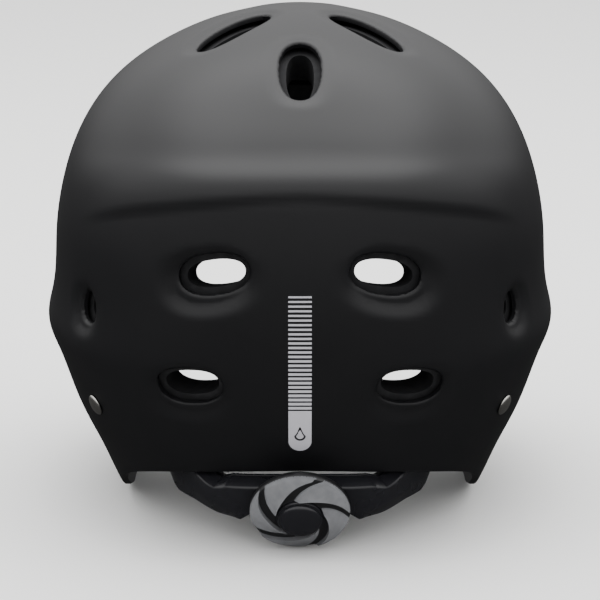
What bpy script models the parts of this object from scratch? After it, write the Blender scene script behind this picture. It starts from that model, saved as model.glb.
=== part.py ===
"""Water helmet: hard shell, foam liner, comfort pads, nape cradle with a dial, chin strap.

The helmet stands on its ear flaps and on the dial of the nape cradle. The rear points
to -Y, the face opening to +Y, the wearer's right side to +X, and z = 0 is the ground.
Lengths below are in millimetres; they become metres where a mesh is made.
"""
import math

import bmesh
import bpy
import numpy as np
from mathutils import Matrix, Vector

MM = 0.001

# --- Driving dimensions of the shell -----------------------------------------------
CENTRE_Z = 97.0           # height of the centre that the outline curves are measured from
CENTRE_Y = -2.85          # puts the rearmost and foremost points at equal distances
SHELL_WALL = 2.6
GAP = 0.3                 # clearance between pieces that touch
CURVED_GAP = 1.4          # clearance between curved layers, whose facets differ
LINER_GAP = 3.2           # room for glue, and for the fold of the shell's ear ridge
LINER_WALL = 11.0
PAD_WALL = 6.0
EAR_PAD_WALL = 7.0
SQUARENESS = 0.3          # how much fuller than an ellipse the plan is below the dome

# Outline curves, (distance from the axis, height over the centre), top to bottom.
SIDE_OUTLINE = [(0, 113), (42, 105), (62.5, 95), (81.5, 80), (95.2, 60), (102, 40),
                (105.1, 20), (106, 2), (107.8, -9), (109.2, -18), (106.5, -26),
                (103, -35), (96.8, -52), (88, -70), (81, -86), (76, -95)]
REAR_OUTLINE = [(0, 113), (49, 105.4), (75, 94.5), (95, 80), (106, 70.5), (113, 64.2),
                (118.5, 59.6), (122.3, 54), (124.6, 45), (127, 28), (128.3, 10),
                (127.8, -10), (123.5, -30), (115, -50), (105, -67), (95, -82)]
FRONT_OUTLINE = [(0, 113), (49, 105), (72, 95), (94, 80), (113, 60), (125, 40),
                 (131.5, 20), (134, 0), (132, -20), (126, -42), (117, -64), (104, -90)]

# Heights over the ground of the shell's rim and the liner's lower edge, by azimuth in
# degrees from the rear (0) past the ear (90) to the front (180).
RIM_HEIGHT = [(0, 33), (30, 28), (55, 15), (76, 1), (90, 0), (104, 1), (116, 22),
              (128, 55), (142, 82), (160, 96), (180, 100)]
LINER_EDGE = [(0, 43), (24, 43), (38, 52), (47, 66), (58, 69), (90, 67), (110, 70),
              (128, 80), (142, 92), (160, 105), (180, 108)]

# Vents: azimuth, polar angle from the top, length, width, turn of the long axis.
VENTS = {
    "rear_upper": (15.8, 80.5, 30.0, 16.5, 10.0),
    "rear_lower": (21.2, 102.0, 29.0, 16.5, 6.0),
    "ear": (46.9, 90.5, 13.0, 13.0, 0.0),
    "crown_rear": (0.0, 36.0, 17.0, 39.0, 0.0),
    "crown_diagonal": (45.5, 20.5, 17.0, 40.0, 0.0),
    "crown_front": (133.0, 24.0, 17.0, 40.0, 0.0),
    "brow": (158.0, 60.0, 34.0, 15.0, -8.0),
}

# Rivets: azimuth and polar angle of the four strap anchors' axes.
REAR_RIVET = (49.0, 111.7)
FRONT_RIVET = (121.0, 108.5)
RIVET_HEAD_RADIUS = 4.5
RIVET_HEAD_HEIGHT = 1.8
RIVET_SHANK_RADIUS = 2.0

# Nape cradle and its dial.
DIAL_FACE = Vector((0, -118.0, 18.2))    # centre of the dial's outer face
DIAL_TILT = math.radians(30)             # the dial faces back and this far down
DIAL_RADIUS = 20.3
DIAL_THICKNESS = 6.0
HUB_RADIUS = 9.5
VANE_COUNT = 5
TRACK_DEPTH = 9.9                        # from the dial's face to the racks
PINION_RADIUS = 3.4
RACK_TRAVEL_RADIUS = 3.6                 # rack travel for each radian of the dial
RACK_THICKNESS = 3.0
CRADLE_PIVOT = Vector((84.4, 34.0, 82.0))    # the right temple pivot
WING_DEPTH = [(0, 8.1), (20, 8.1), (25, 11.8), (34, 11.2), (42, 11.3), (47, 12.4), (48.5, 11.0),
              (50, 8.8), (53.5, 7.6)]    # the wings' depth under the racks, by distance from the middle
BAND_WIDTH = 8.6
BAND_THICKNESS = 1.4

# Chin strap.
WEB_THICKNESS = 1.4
WEB_WIDTH = 15.0
DIVIDER = Vector((68.5, 58.3, 13.0))     # the middle of the right one
BUCKLE = Vector((0.0, 112.0, 6.5))       # the mouth of the buckle's female half

BLACK_ABS = ((0.010, 0.010, 0.011), 0.45, 0.0)
BLACK_NYLON = ((0.012, 0.012, 0.013), 0.35, 0.0)
GREY_RUBBER = ((0.10, 0.10, 0.105), 0.7, 0.0)
DARK_FOAM = ((0.018, 0.018, 0.020), 0.9, 0.0)
PAD_CLOTH = ((0.03, 0.03, 0.033), 0.95, 0.0)
WEBBING = ((0.015, 0.015, 0.016), 0.85, 0.0)
NICKEL = ((0.68, 0.67, 0.64), 0.3, 1.0)


# --- Curves and surfaces -------------------------------------------------------------
def smooth_curve(xs, ys):
    """A cubic spline through the points, level at its first one."""
    xs = np.asarray(xs, float)
    ys = np.asarray(ys, float)
    count = len(xs)
    step = np.diff(xs)
    system = np.zeros((count, count))
    right = np.zeros(count)
    for i in range(1, count - 1):
        system[i, i - 1:i + 2] = step[i - 1], 2 * (step[i - 1] + step[i]), step[i]
        right[i] = 6 * ((ys[i + 1] - ys[i]) / step[i] - (ys[i] - ys[i - 1]) / step[i - 1])
    system[0, 0:2] = 2 * step[0], step[0]
    right[0] = 6 * (ys[1] - ys[0]) / step[0]
    system[-1, -1] = 1
    bend = np.linalg.solve(system, right)

    def value(x):
        x = np.asarray(x, float)
        i = np.clip(np.searchsorted(xs, x) - 1, 0, count - 2)
        width = xs[i + 1] - xs[i]
        a = (xs[i + 1] - x) / width
        b = (x - xs[i]) / width
        curve = ((a ** 3 - a) * bend[i] + (b ** 3 - b) * bend[i + 1]) * width ** 2 / 6
        return a * ys[i] + b * ys[i + 1] + curve

    return value


def outline_curve(points):
    """The outline as a radius by polar angle."""
    across, up = np.array(points, float).T
    return smooth_curve(np.arctan2(across, up), np.hypot(across, up))


def height_curve(points):
    azimuths, heights = np.array(points, float).T
    return smooth_curve(np.radians(azimuths), heights)


side_radius = outline_curve(SIDE_OUTLINE)
rear_radius = outline_curve(REAR_OUTLINE)
front_radius = outline_curve(FRONT_OUTLINE)
rim_curve = height_curve(RIM_HEIGHT)
liner_edge_height = height_curve(LINER_EDGE)


def rim_height(azimuth):
    """The rim's height; the ear flaps end flat, on the ground."""
    return np.maximum(rim_curve(azimuth), 0)


def ease(x):
    x = np.clip(x, 0, 1)
    return x * x * (3 - 2 * x)


def shell_radius(azimuth, polar):
    """Distance from the centre to the shell's outer surface, angles in radians."""
    power = 2 + SQUARENESS * ease((polar - 0.5) / 0.9)
    forward = ease((1 - np.cos(azimuth)) / 2)
    along = rear_radius(polar) * (1 - forward) + front_radius(polar) * forward
    side = np.abs(np.sin(azimuth) / side_radius(polar)) ** power
    length = np.abs(np.cos(azimuth) / along) ** power
    return (side + length) ** (-1 / power)


def outer_point(azimuth, polar):
    radius = shell_radius(azimuth, polar)
    return np.stack([radius * np.sin(polar) * np.sin(azimuth),
                     CENTRE_Y - radius * np.sin(polar) * np.cos(azimuth),
                     CENTRE_Z + radius * np.cos(polar)], -1)


def surface_normal(azimuth, polar, delta=0.002):
    round_it = outer_point(azimuth + delta, polar) - outer_point(azimuth - delta, polar)
    down_it = outer_point(azimuth, polar + delta) - outer_point(azimuth, polar - delta)
    normal = np.cross(down_it, round_it)
    length = np.linalg.norm(normal, axis=-1, keepdims=True)
    normal = np.where(length > 1e-9, normal / np.maximum(length, 1e-9), [0.0, 0.0, 1.0])
    outward = outer_point(azimuth, polar) - np.array([0, CENTRE_Y, CENTRE_Z])
    return normal * np.sign(np.sum(normal * outward, -1, keepdims=True))


def inset_point(azimuth, polar, inset):
    """The point this far inside the shell's outer surface, along its normal."""
    azimuth = np.asarray(azimuth, float)
    polar = np.maximum(np.asarray(polar, float), 1e-4)
    return outer_point(azimuth, polar) - inset * surface_normal(azimuth, polar)


def polar_at_height(azimuth, height_of):
    """The polar angle where the outer surface is at the height for this azimuth."""
    around = np.abs(np.asarray(azimuth, float))
    target = height_of(around)
    low = np.full(around.shape, 0.8)
    high = np.full(around.shape, 2.7)
    for _ in range(40):
        middle = (low + high) / 2
        above = CENTRE_Z + shell_radius(around, middle) * np.cos(middle) > target
        low = np.where(above, middle, low)
        high = np.where(above, high, middle)
    return low


# --- Meshes and objects --------------------------------------------------------------
def make_material(name, finish):
    colour, roughness, metallic = finish
    material = bpy.data.materials.new(name)
    material.use_nodes = True
    shader = material.node_tree.nodes["Principled BSDF"]
    shader.inputs["Base Color"].default_value = (*colour, 1)
    shader.inputs["Roughness"].default_value = roughness
    shader.inputs["Metallic"].default_value = metallic
    return material


def make_object(name, mesh_data, finish, place=None):
    """Turn a bmesh in millimetres into a named object in metres."""
    bmesh.ops.recalc_face_normals(mesh_data, faces=mesh_data.faces)
    bmesh.ops.scale(mesh_data, vec=(MM, MM, MM), verts=mesh_data.verts)
    mesh = bpy.data.meshes.new(name)
    mesh_data.to_mesh(mesh)
    mesh_data.free()
    mesh.shade_smooth()
    mesh.set_sharp_from_angle(angle=math.radians(35))
    piece = bpy.data.objects.new(name, mesh)
    piece.data.materials.append(make_material(name + "_finish", finish))
    bpy.context.scene.collection.objects.link(piece)
    if place is not None:
        piece.matrix_world = place
    return piece


def make_cutter(name, mesh_data):
    cutter = make_object(name, mesh_data, BLACK_ABS)
    cutter.hide_render = True
    cutter.display_type = "WIRE"
    return cutter


def cut(piece, cutter):
    modifier = piece.modifiers.new("cut_" + cutter.name, "BOOLEAN")
    modifier.operation = "DIFFERENCE"
    modifier.solver = "EXACT"
    modifier.object = cutter


def grid_solid(outer, inner, wrap, pole):
    """A closed solid between two grids of points, [column][row]."""
    mesh_data = bmesh.new()
    columns, rows = outer.shape[0], outer.shape[1]

    def add_vertices(grid):
        layer = [[None] * rows for _ in range(columns)]
        for i in range(columns):
            for j in range(rows):
                if pole and j == 0 and i > 0:
                    layer[i][j] = layer[0][0]
                else:
                    layer[i][j] = mesh_data.verts.new(grid[i, j])
        return layer

    def add_face(*corners):
        distinct = list(dict.fromkeys(corners))
        if len(distinct) > 2:
            mesh_data.faces.new(distinct)

    top = add_vertices(outer)
    bottom = add_vertices(inner)
    last = columns if wrap else columns - 1
    for i in range(last):
        k = (i + 1) % columns
        for j in range(rows - 1):
            add_face(top[i][j], top[k][j], top[k][j + 1], top[i][j + 1])
            add_face(bottom[i][j], bottom[i][j + 1], bottom[k][j + 1], bottom[k][j])
        add_face(top[i][-1], top[k][-1], bottom[k][-1], bottom[i][-1])
        if not pole:
            add_face(top[i][0], bottom[i][0], bottom[k][0], top[k][0])
    if not wrap:
        for j in range(rows - 1):
            add_face(top[0][j], top[0][j + 1], bottom[0][j + 1], bottom[0][j])
            add_face(top[-1][j], bottom[-1][j], bottom[-1][j + 1], top[-1][j + 1])
    return mesh_data


def curved_slab(azimuths, polar_top, polar_bottom, rows, depth, wall, wrap=False):
    """A slab that follows the shell between two polar limits, this deep inside it."""
    share = np.linspace(0, 1, rows)[None, :]
    azimuth = np.repeat(azimuths[:, None], rows, axis=1)
    top = np.broadcast_to(polar_top, azimuths.shape)[:, None]
    bottom = np.broadcast_to(polar_bottom, azimuths.shape)[:, None]
    polar = top * (1 - share) + bottom * share
    pole = bool(wrap and np.all(top == 0))
    return grid_solid(inset_point(azimuth, polar, depth),
                      inset_point(azimuth, polar, depth + wall), wrap, pole)


def catmull(points, steps):
    """A smooth path through the points, with this many steps to each stretch."""
    points = [Vector(p) for p in points]
    padded = [2 * points[0] - points[1]] + points + [2 * points[-1] - points[-2]]
    path = []
    for k in range(len(points) - 1):
        p0, p1, p2, p3 = padded[k:k + 4]
        for s in range(steps):
            t = s / steps
            path.append(0.5 * (2 * p1 + (p2 - p0) * t + (2 * p0 - 5 * p1 + 4 * p2 - p3) * t * t
                               + (3 * p1 - p0 - 3 * p2 + p3) * t ** 3))
    path.append(points[-1])
    return path


def sweep(path, outs, section):
    """Carry a closed (out, up) section, or one by point, along a path."""
    mesh_data = bmesh.new()
    rings = []
    for k, point in enumerate(path):
        ahead = path[min(k + 1, len(path) - 1)] - path[max(k - 1, 0)]
        out = outs[k] - ahead.normalized() * outs[k].dot(ahead.normalized())
        out.normalize()
        up = out.cross(ahead.normalized())
        shape = section(point) if callable(section) else section
        ring = [mesh_data.verts.new(point + out * a + up * b) for a, b in shape]
        rings.append(ring)
    count = len(rings[0])
    for first, second in zip(rings, rings[1:]):
        for k in range(count):
            n = (k + 1) % count
            mesh_data.faces.new((first[k], first[n], second[n], second[k]))
    mesh_data.faces.new(rings[0])
    mesh_data.faces.new(list(reversed(rings[-1])))
    return mesh_data


def rectangle(thickness, width):
    t, w = thickness / 2, width / 2
    return [(-t, -w), (t, -w), (t, w), (-t, w)]


def turned(profile, segments=28):
    """A turned solid about Z from (radius, height) points that start and end at r = 0."""
    mesh_data = bmesh.new()
    rings = []
    for radius, height in profile:
        if radius == 0:
            rings.append([mesh_data.verts.new((0, 0, height))] * segments)
            continue
        angles = [math.tau * k / segments for k in range(segments)]
        rings.append([mesh_data.verts.new((radius * math.cos(a), radius * math.sin(a), height))
                      for a in angles])
    for first, second in zip(rings, rings[1:]):
        for k in range(segments):
            n = (k + 1) % segments
            corners = list(dict.fromkeys((first[k], first[n], second[n], second[k])))
            mesh_data.faces.new(corners)
    return mesh_data


def turned_ring(profile, segments=28):
    """A turned ring about Z from a closed (radius, height) outline off the axis."""
    mesh_data = bmesh.new()
    rings = []
    for k in range(segments):
        a = math.tau * k / segments
        rings.append([mesh_data.verts.new((r * math.cos(a), r * math.sin(a), h))
                      for r, h in profile])
    count = len(profile)
    for k in range(segments):
        first, second = rings[k], rings[(k + 1) % segments]
        for j in range(count):
            n = (j + 1) % count
            mesh_data.faces.new((first[j], first[n], second[n], second[j]))
    return mesh_data


def add_box(mesh_data, low, high):
    low, high = Vector(low), Vector(high)
    size = high - low
    place = Matrix.Translation((low + high) / 2) @ Matrix.Diagonal((*size, 1))
    bmesh.ops.create_cube(mesh_data, size=1, matrix=place)


def extruded(outline, low, high):
    """A prism of an (x, y) outline between two heights."""
    mesh_data = bmesh.new()
    bottom = [mesh_data.verts.new((x, y, low)) for x, y in outline]
    top = [mesh_data.verts.new((x, y, high)) for x, y in outline]
    count = len(outline)
    for k in range(count):
        n = (k + 1) % count
        mesh_data.faces.new((bottom[k], bottom[n], top[n], top[k]))
    mesh_data.faces.new(bottom)
    mesh_data.faces.new(top)
    return mesh_data


def surface_frame(azimuth, polar):
    """A frame on the shell: X round it, Y up it, Z out of it, in millimetres."""
    azimuth = math.radians(azimuth)
    polar = math.radians(polar)
    origin = Vector(outer_point(azimuth, polar))
    out = Vector(surface_normal(azimuth, polar))
    level = Vector((math.cos(azimuth), math.sin(azimuth), 0))
    across = (level - out * level.dot(out)).normalized()
    up = out.cross(across)
    return Matrix((across, up, out)).transposed().to_4x4(), origin


def frame_matrix(azimuth, polar):
    turn, origin = surface_frame(azimuth, polar)
    return Matrix.Translation(origin) @ turn


def in_metres(matrix):
    placed = matrix.copy()
    placed.translation = matrix.translation * MM
    return placed


def both_sides():
    """Each side's name and the sign of x: the wearer's left is -X."""
    return (("left", -1), ("right", 1))


# --- Shell, liner and pads -----------------------------------------------------------
def oval(length, width, count=14, power=2.3):
    points = []
    for k in range(count):
        a = math.tau * k / count
        c, s = math.cos(a), math.sin(a)
        x = math.copysign(abs(c) ** (2 / power), c) * length / 2
        y = math.copysign(abs(s) ** (2 / power), s) * width / 2
        points.append((x, y))
    return points


def vent_cutter():
    """Every vent as a prism along the shell's normal, through shell and liner."""
    joined = bmesh.new()
    for azimuth, polar, length, width, turn in VENTS.values():
        for sign in ((1,) if azimuth == 0 else (1, -1)):
            prism = extruded(oval(length, width), -19, 6)
            place = frame_matrix(sign * azimuth, polar)
            place = place @ Matrix.Rotation(math.radians(-sign * turn), 4, "Z")
            bmesh.ops.transform(prism, matrix=place, verts=prism.verts)
            scratch = bpy.data.meshes.new("vent_scratch")
            prism.to_mesh(scratch)
            prism.free()
            joined.from_mesh(scratch)
            bpy.data.meshes.remove(scratch)
    return make_cutter("vent_cutter", joined)


def rivet_cutter():
    """The holes that the four strap rivets pass through."""
    joined = bmesh.new()
    for azimuth, polar in (REAR_RIVET, FRONT_RIVET):
        for sign in (1, -1):
            place = frame_matrix(sign * azimuth, polar) @ Matrix.Translation((0, 0, -3))
            bmesh.ops.create_cone(joined, cap_ends=True, segments=12, depth=14,
                                  radius1=RIVET_SHANK_RADIUS + GAP,
                                  radius2=RIVET_SHANK_RADIUS + GAP, matrix=place)
    return make_cutter("rivet_cutter", joined)


def make_shell(vents, holes):
    """One moulded shell, open below, with its rim and every vent."""
    azimuths = np.linspace(-math.pi, math.pi, 64, endpoint=False)
    rim = polar_at_height(azimuths, rim_height)
    shell = make_object("outer_shell", curved_slab(azimuths, 0 * azimuths, rim, 14, 0.0,
                                                   SHELL_WALL, wrap=True), BLACK_ABS)
    cut(shell, vents)
    cut(shell, holes)
    return shell


def sector(low, high, count):
    return np.radians(np.linspace(low, high, count))


def make_liner(vents):
    """Five foam panels bonded inside the shell: a crown and four sides."""
    depth = SHELL_WALL + LINER_GAP
    crown_edge = math.radians(50)
    seam = 0.25
    azimuths = np.linspace(-math.pi, math.pi, 36, endpoint=False)
    panels = [make_object("liner_crown",
                          curved_slab(azimuths, 0 * azimuths, crown_edge, 6, depth,
                                      LINER_WALL, wrap=True), DARK_FOAM)]
    for name, low, high, count in (("liner_rear", -60, 60, 21), ("liner_right", 60, 130, 12),
                                   ("liner_front", 130, 230, 17), ("liner_left", -130, -60, 12)):
        azimuths = sector(low + seam, high - seam, count)
        wrapped = np.where(azimuths > math.pi, azimuths - math.tau, azimuths)
        edge = polar_at_height(wrapped, liner_edge_height)
        panels.append(make_object(name, curved_slab(azimuths, crown_edge + math.radians(seam),
                                                    edge, 9, depth, LINER_WALL), DARK_FOAM))
    for panel in panels:
        cut(panel, vents)


def make_pads():
    """Removable cloth-covered pads on the liner, and the softer pads of the ear flaps."""
    depth = SHELL_WALL + LINER_GAP + LINER_WALL + CURVED_GAP
    whole_turn = np.linspace(-math.pi, math.pi, 18, endpoint=False)
    make_object("crown_pad", curved_slab(whole_turn, 0 * whole_turn, math.radians(13), 4, depth,
                                         PAD_WALL, wrap=True), PAD_CLOTH)
    for name, low, high, top, bottom in (("brow_pad", 146, 214, 70, 83),
                                         ("rear_pad", -26, 26, 52, 70),
                                         ("left_side_pad", -112, -66, 62, 84),
                                         ("right_side_pad", 66, 112, 62, 84)):
        azimuths = sector(low, high, 13)
        make_object(name, curved_slab(azimuths, math.radians(top), math.radians(bottom), 5,
                                      depth, PAD_WALL), PAD_CLOTH)
    for side, sign in both_sides():
        azimuths = sign * sector(72, 110, 9)
        top = polar_at_height(azimuths, lambda a: 0 * a + 60)
        bottom = polar_at_height(azimuths, lambda a: 0 * a + 12)
        make_object(side + "_ear_pad", curved_slab(azimuths, top, bottom, 6,
                                                   SHELL_WALL + CURVED_GAP, EAR_PAD_WALL), PAD_CLOTH)


# --- Strap anchors and webs ----------------------------------------------------------
def make_anchors():
    """At each anchor a domed rivet outside, and a washer that holds the web inside."""
    washer_top = -(SHELL_WALL + CURVED_GAP + WEB_THICKNESS + GAP)
    dome = [(RIVET_HEAD_RADIUS * math.cos(a), GAP + 0.5 + (RIVET_HEAD_HEIGHT - 0.5) * math.sin(a))
            for a in np.linspace(0, math.pi / 2, 5)[:-1]]
    profile = [(0, GAP + RIVET_HEAD_HEIGHT)] + dome[::-1]
    profile += [(RIVET_HEAD_RADIUS, GAP), (RIVET_SHANK_RADIUS, GAP),
                (RIVET_SHANK_RADIUS, washer_top - 2.2), (0, washer_top - 2.2)]
    washer = [(RIVET_SHANK_RADIUS + GAP, washer_top), (5.0, washer_top),
              (5.0, washer_top - 1.2), (RIVET_SHANK_RADIUS + GAP, washer_top - 1.2)]
    for end, spot in (("rear", REAR_RIVET), ("front", FRONT_RIVET)):
        for side, sign in both_sides():
            place = in_metres(frame_matrix(sign * spot[0], spot[1]))
            make_object(f"{end}_rivet_{side}", turned(profile, 12), NICKEL, place)
            make_object(f"{end}_washer_{side}", turned_ring(washer, 12), BLACK_NYLON, place)


def mirrored(points, sign):
    return [Vector((sign * x, y, z)) for x, y, z in points]


def web_start(spot, beyond, towards):
    """Where a web passes a rivet: a little beyond it, at it, and on its way out."""
    turn, origin = surface_frame(*spot)
    out = turn.to_3x3().col[2]
    seat = origin - out * (SHELL_WALL + CURVED_GAP + WEB_THICKNESS / 2)
    along = (Vector(towards) - seat)
    along = (along - out * along.dot(out)).normalized()
    return [tuple(seat - along * beyond), tuple(seat + along * 9)], out


def make_side_webs(holes):
    """The two webs on each side that run from the rivets down to the divider."""
    rear_route = [(79, -50, 45), (74, -34, 38), (70.3, -10, 28), (67.4, 15, 20),
                  (67.6, 34, 15.5), (68.5, 46.7, 13.5)]
    front_route = [(83, 55, 44), (75, 58, 33), (69.0, 59.5, 27.5)]
    for end, spot, route in (("rear", REAR_RIVET, rear_route), ("front", FRONT_RIVET, front_route)):
        start, out = web_start(spot, 7, route[0])
        points = start + route
        for side, sign in both_sides():
            path = catmull(mirrored(points, sign), 4)
            outs = []
            for k, point in enumerate(path):
                level = Vector((point.x, (point.y - CENTRE_Y) * 0.4, 0)).normalized()
                share = min(max((k - 6) / 10, 0), 1)
                seat_out = Vector((sign * out.x, out.y, out.z))
                outs.append(seat_out.lerp(level, share))
            web = make_object(f"{end}_web_{side}",
                              sweep(path, outs, rectangle(WEB_THICKNESS, WEB_WIDTH)), WEBBING)
            cut(web, holes)


# --- Chin strap ----------------------------------------------------------------------
def make_chin_strap():
    """Dividers, chin webs, a side-release buckle, a keeper and a soft chin pad."""
    for side, sign in both_sides():
        divider = bmesh.new()
        add_box(divider, (-2.2, -10, -11), (2.2, 10, 11))
        make_object("divider_" + side, divider, BLACK_NYLON,
                    Matrix.Translation(Vector((sign * DIVIDER.x, DIVIDER.y, DIVIDER.z)) * MM))
    level = BUCKLE.z
    web_routes = {"left": [(-68.5, 69.5, 12.5), (-64, 83, 10.5), (-55, 99, 7.6), (-37.5, 112, level),
                           (-27.2, 113.9, level)],
                  "right": [(68.5, 69.5, 12.5), (65, 82, 10.5), (57, 95, 7.6), (44, 107.8, level),
                            (34.6, 109.6, level)]}
    for side, points in web_routes.items():
        sign = -1 if side == "left" else 1
        path = catmull(points, 5)
        first = Vector((sign, 0.35, 0.1))
        outs = [first.lerp(Vector((0, 0, 1)), ease_share(min(1.8 * k / (len(path) - 1), 1)))
                for k in range(len(path))]
        make_object("chin_web_" + side, sweep(path, outs, rectangle(WEB_THICKNESS, WEB_WIDTH)),
                    WEBBING)
        if side == "right":
            face = WEB_THICKNESS / 2 + GAP
            pad = [(face, -12), (face + 4.5, -12), (face + 4.5, 12), (face, 12)]
            make_object("chin_pad", sweep(path[7:17], outs[7:17], pad), PAD_CLOTH)
        else:
            make_keeper(path[9], path[10] - path[8], outs[9])
    make_buckle()


def make_keeper(spot, ahead, out):
    """A moulded loop round the left web, which holds down its free end."""
    ahead = ahead.normalized()
    out = (out - ahead * out.dot(ahead)).normalized()
    turn = Matrix((ahead, out.cross(ahead), out)).transposed().to_4x4()
    place = in_metres(Matrix.Translation(spot) @ turn)
    loop = bmesh.new()
    add_box(loop, (-3, -WEB_WIDTH / 2 - 2.2, -2.9), (3, WEB_WIDTH / 2 + 2.2, 2.9))
    keeper = make_object("strap_keeper", loop, BLACK_NYLON, place)
    slot = bmesh.new()
    add_box(slot, (-6, -WEB_WIDTH / 2 - 1, -1.8), (6, WEB_WIDTH / 2 + 1, 1.8))
    hollow = make_cutter("keeper_slot", slot)
    hollow.matrix_world = place
    cut(keeper, hollow)


def ease_share(x):
    return x * x * (3 - 2 * x)


def buckle_place():
    turn = Matrix.Rotation(math.radians(-4), 4, "Z")
    return Matrix.Translation(BUCKLE * MM) @ turn


def make_buckle():
    """Side-release buckle: a pocketed female half and a male half with two prongs."""
    female = bmesh.new()
    add_box(female, (0, -13, -4.6), (34, 13, 4.6))
    body = make_object("buckle_female", female, BLACK_NYLON, buckle_place())
    pocket = [(-1, -11.9), (7, -11.9), (7, -14), (19, -14), (19, -11.9), (26, -11.9),
              (26, 11.9), (19, 11.9), (19, 14), (7, 14), (7, 11.9), (-1, 11.9)]
    hollow = make_cutter("buckle_pocket", extruded(pocket, -2.8, 2.8))
    hollow.matrix_world = buckle_place()
    cut(body, hollow)
    outline = [(-26, -13), (-4, -13), (-GAP, -13), (-GAP, -10.2), (8, -10.2), (9.5, -11.6),
               (17, -11.6), (22, -8.4), (22, -6.6), (4, -6.6), (3, -1.6), (20, -1.6), (20, 1.6),
               (3, 1.6), (4, 6.6), (22, 6.6), (22, 8.4), (17, 11.6), (9.5, 11.6), (8, 10.2),
               (-GAP, 10.2), (-GAP, 13), (-4, 13), (-26, 13)]
    make_object("buckle_male", extruded(outline, -2.3, 2.3), BLACK_NYLON, buckle_place())


# --- Nape cradle and dial ------------------------------------------------------------
def dial_axes():
    """The dial's outward axis and the direction up its face."""
    out = Vector((0, -math.cos(DIAL_TILT), -math.sin(DIAL_TILT)))
    up = Vector((0, -math.sin(DIAL_TILT), math.cos(DIAL_TILT)))
    return out, up


def dial_place():
    """The dial's frame: Z out along its axis, Y up its face, origin at the face."""
    out, up = dial_axes()
    side = up.cross(out)
    turn = Matrix((side, up, out)).transposed().to_4x4()
    return Matrix.Translation(DIAL_FACE) @ turn


def track_route():
    """The line that racks and bands follow, from the dial out to +X."""
    out, _ = dial_axes()
    middle = DIAL_FACE - out * TRACK_DEPTH
    bend = [(19, middle.y, middle.z), (27, -107.6, 23.1), (34, -102.2, 23.4), (41, -92.5, 26), (47.5, -82.5, 29),
            (54, -71, 33), (60.5, -57, 37.5), (67.5, -41, 43), (72.5, -22, 50),
            (77.5, 0, 59), (81.5, 18, 70), tuple(CRADLE_PIVOT)]
    return catmull(bend, 3)


def track_outs(path):
    """Which way is outward along the track: down at the dial, level at the temples."""
    out, _ = dial_axes()
    outs = []
    for point in path:
        level = Vector((point.x, min(point.y * 0.8, 0), 0)).normalized()
        share = ease_share(min(max((abs(point.x) - 26) / 40, 0), 1))
        outs.append(out.lerp(level, share))
    return outs


def slab_on_track(reach, section):
    """A section carried along the track as far as this x on both sides."""
    right = [p for p in track_route() if p.x <= reach]
    path = [Vector((-p.x, p.y, p.z)) for p in reversed(right)] + right
    return sweep(path, track_outs(path), section)


def wing_share(point):
    """How much lower the channel is than at the dial: 0 there and 1 on the wings."""
    return min(max((abs(point.x) - 27) / 5, 0), 1)


def make_cradle():
    """An open channel with two wings, its cover, its screws and its nape pad."""
    def channel(point):
        top = 7.8 - 2.0 * wing_share(point)
        low = 7.8 - 0.5 * wing_share(point)
        skirt = float(np.interp(abs(point.x), *np.array(WING_DEPTH).T))
        wall = 1.2
        return [(3.5, -skirt), (3.5, top), (-3.3, top), (-3.3, top - wall), (2.1, top - wall),
                (2.1, wall - low), (-3.3, wall - low), (-3.3, -low), (2.1, -low), (2.1, -skirt)]

    def cover(point):
        top = 7.4 - 2.4 * wing_share(point)
        return [(-4.0, -7.4), (-4.0, top), (-5.2, top), (-5.2, -7.4)]

    def pad(point):
        top = 6.5 - 5.0 * wing_share(point)
        return [(-6.1, -11), (-6.1, top), (-9.8, top), (-9.8, -11)]

    housing = make_object("cradle_housing", slab_on_track(53, channel), BLACK_NYLON)
    bore = bmesh.new()
    bmesh.ops.create_cone(bore, cap_ends=True, segments=24, depth=4, radius1=3.3, radius2=3.3,
                          matrix=dial_place() @ Matrix.Translation((0, 0, -7)))
    cut(housing, make_cutter("axle_bore", bore))
    make_object("cradle_cover", slab_on_track(48, cover), BLACK_NYLON)
    make_object("nape_pad", slab_on_track(46, pad), PAD_CLOTH)


def swirl_height(radius, angle):
    """Height of the grip over its base: five vanes that sweep round and fall away."""
    inner, outer = HUB_RADIUS + 0.8, DIAL_RADIUS
    share = (radius - inner) / (outer - inner)
    phase = (angle * VANE_COUNT / math.tau + 0.55 * share) % 1
    return 1.2 + 2.6 * (1 - phase) * (1 - 0.55 * share)


def make_dial():
    """The dial: a base with its axle, a softer ribbed grip, a hub cap and the pinion."""
    place = in_metres(dial_place())
    base = [(0, -1.2), (HUB_RADIUS - 1, -1.2), (DIAL_RADIUS, -1.2), (DIAL_RADIUS, -3.6),
            (DIAL_RADIUS - 1.6, -DIAL_THICKNESS), (2.9, -DIAL_THICKNESS), (2.9, -7.5), (0, -7.5)]
    make_object("dial_base", turned(base, 32), BLACK_NYLON, place)
    columns, rows = 40, 4
    angles = np.linspace(0, math.tau, columns, endpoint=False)
    radii = np.linspace(HUB_RADIUS + 0.8, DIAL_RADIUS, rows)
    top = np.zeros((columns, rows, 3))
    bottom = np.zeros((columns, rows, 3))
    for i, angle in enumerate(angles):
        for j, radius in enumerate(radii):
            spot = radius * math.cos(angle), radius * math.sin(angle)
            top[i, j] = *spot, -0.9 + swirl_height(radius, angle)
            bottom[i, j] = *spot, -0.9
    make_object("dial_grip", grid_solid(top, bottom, True, False), GREY_RUBBER, place)
    cap = [(0, 6.9), (3.5, 6.6), (6.5, 5.6), (8.6, 3.8), (HUB_RADIUS, 2.2), (HUB_RADIUS, -0.9),
           (0, -0.9)]
    make_object("dial_hub_cap", turned(cap, 20), BLACK_NYLON, place)
    make_pinion(place)


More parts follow.
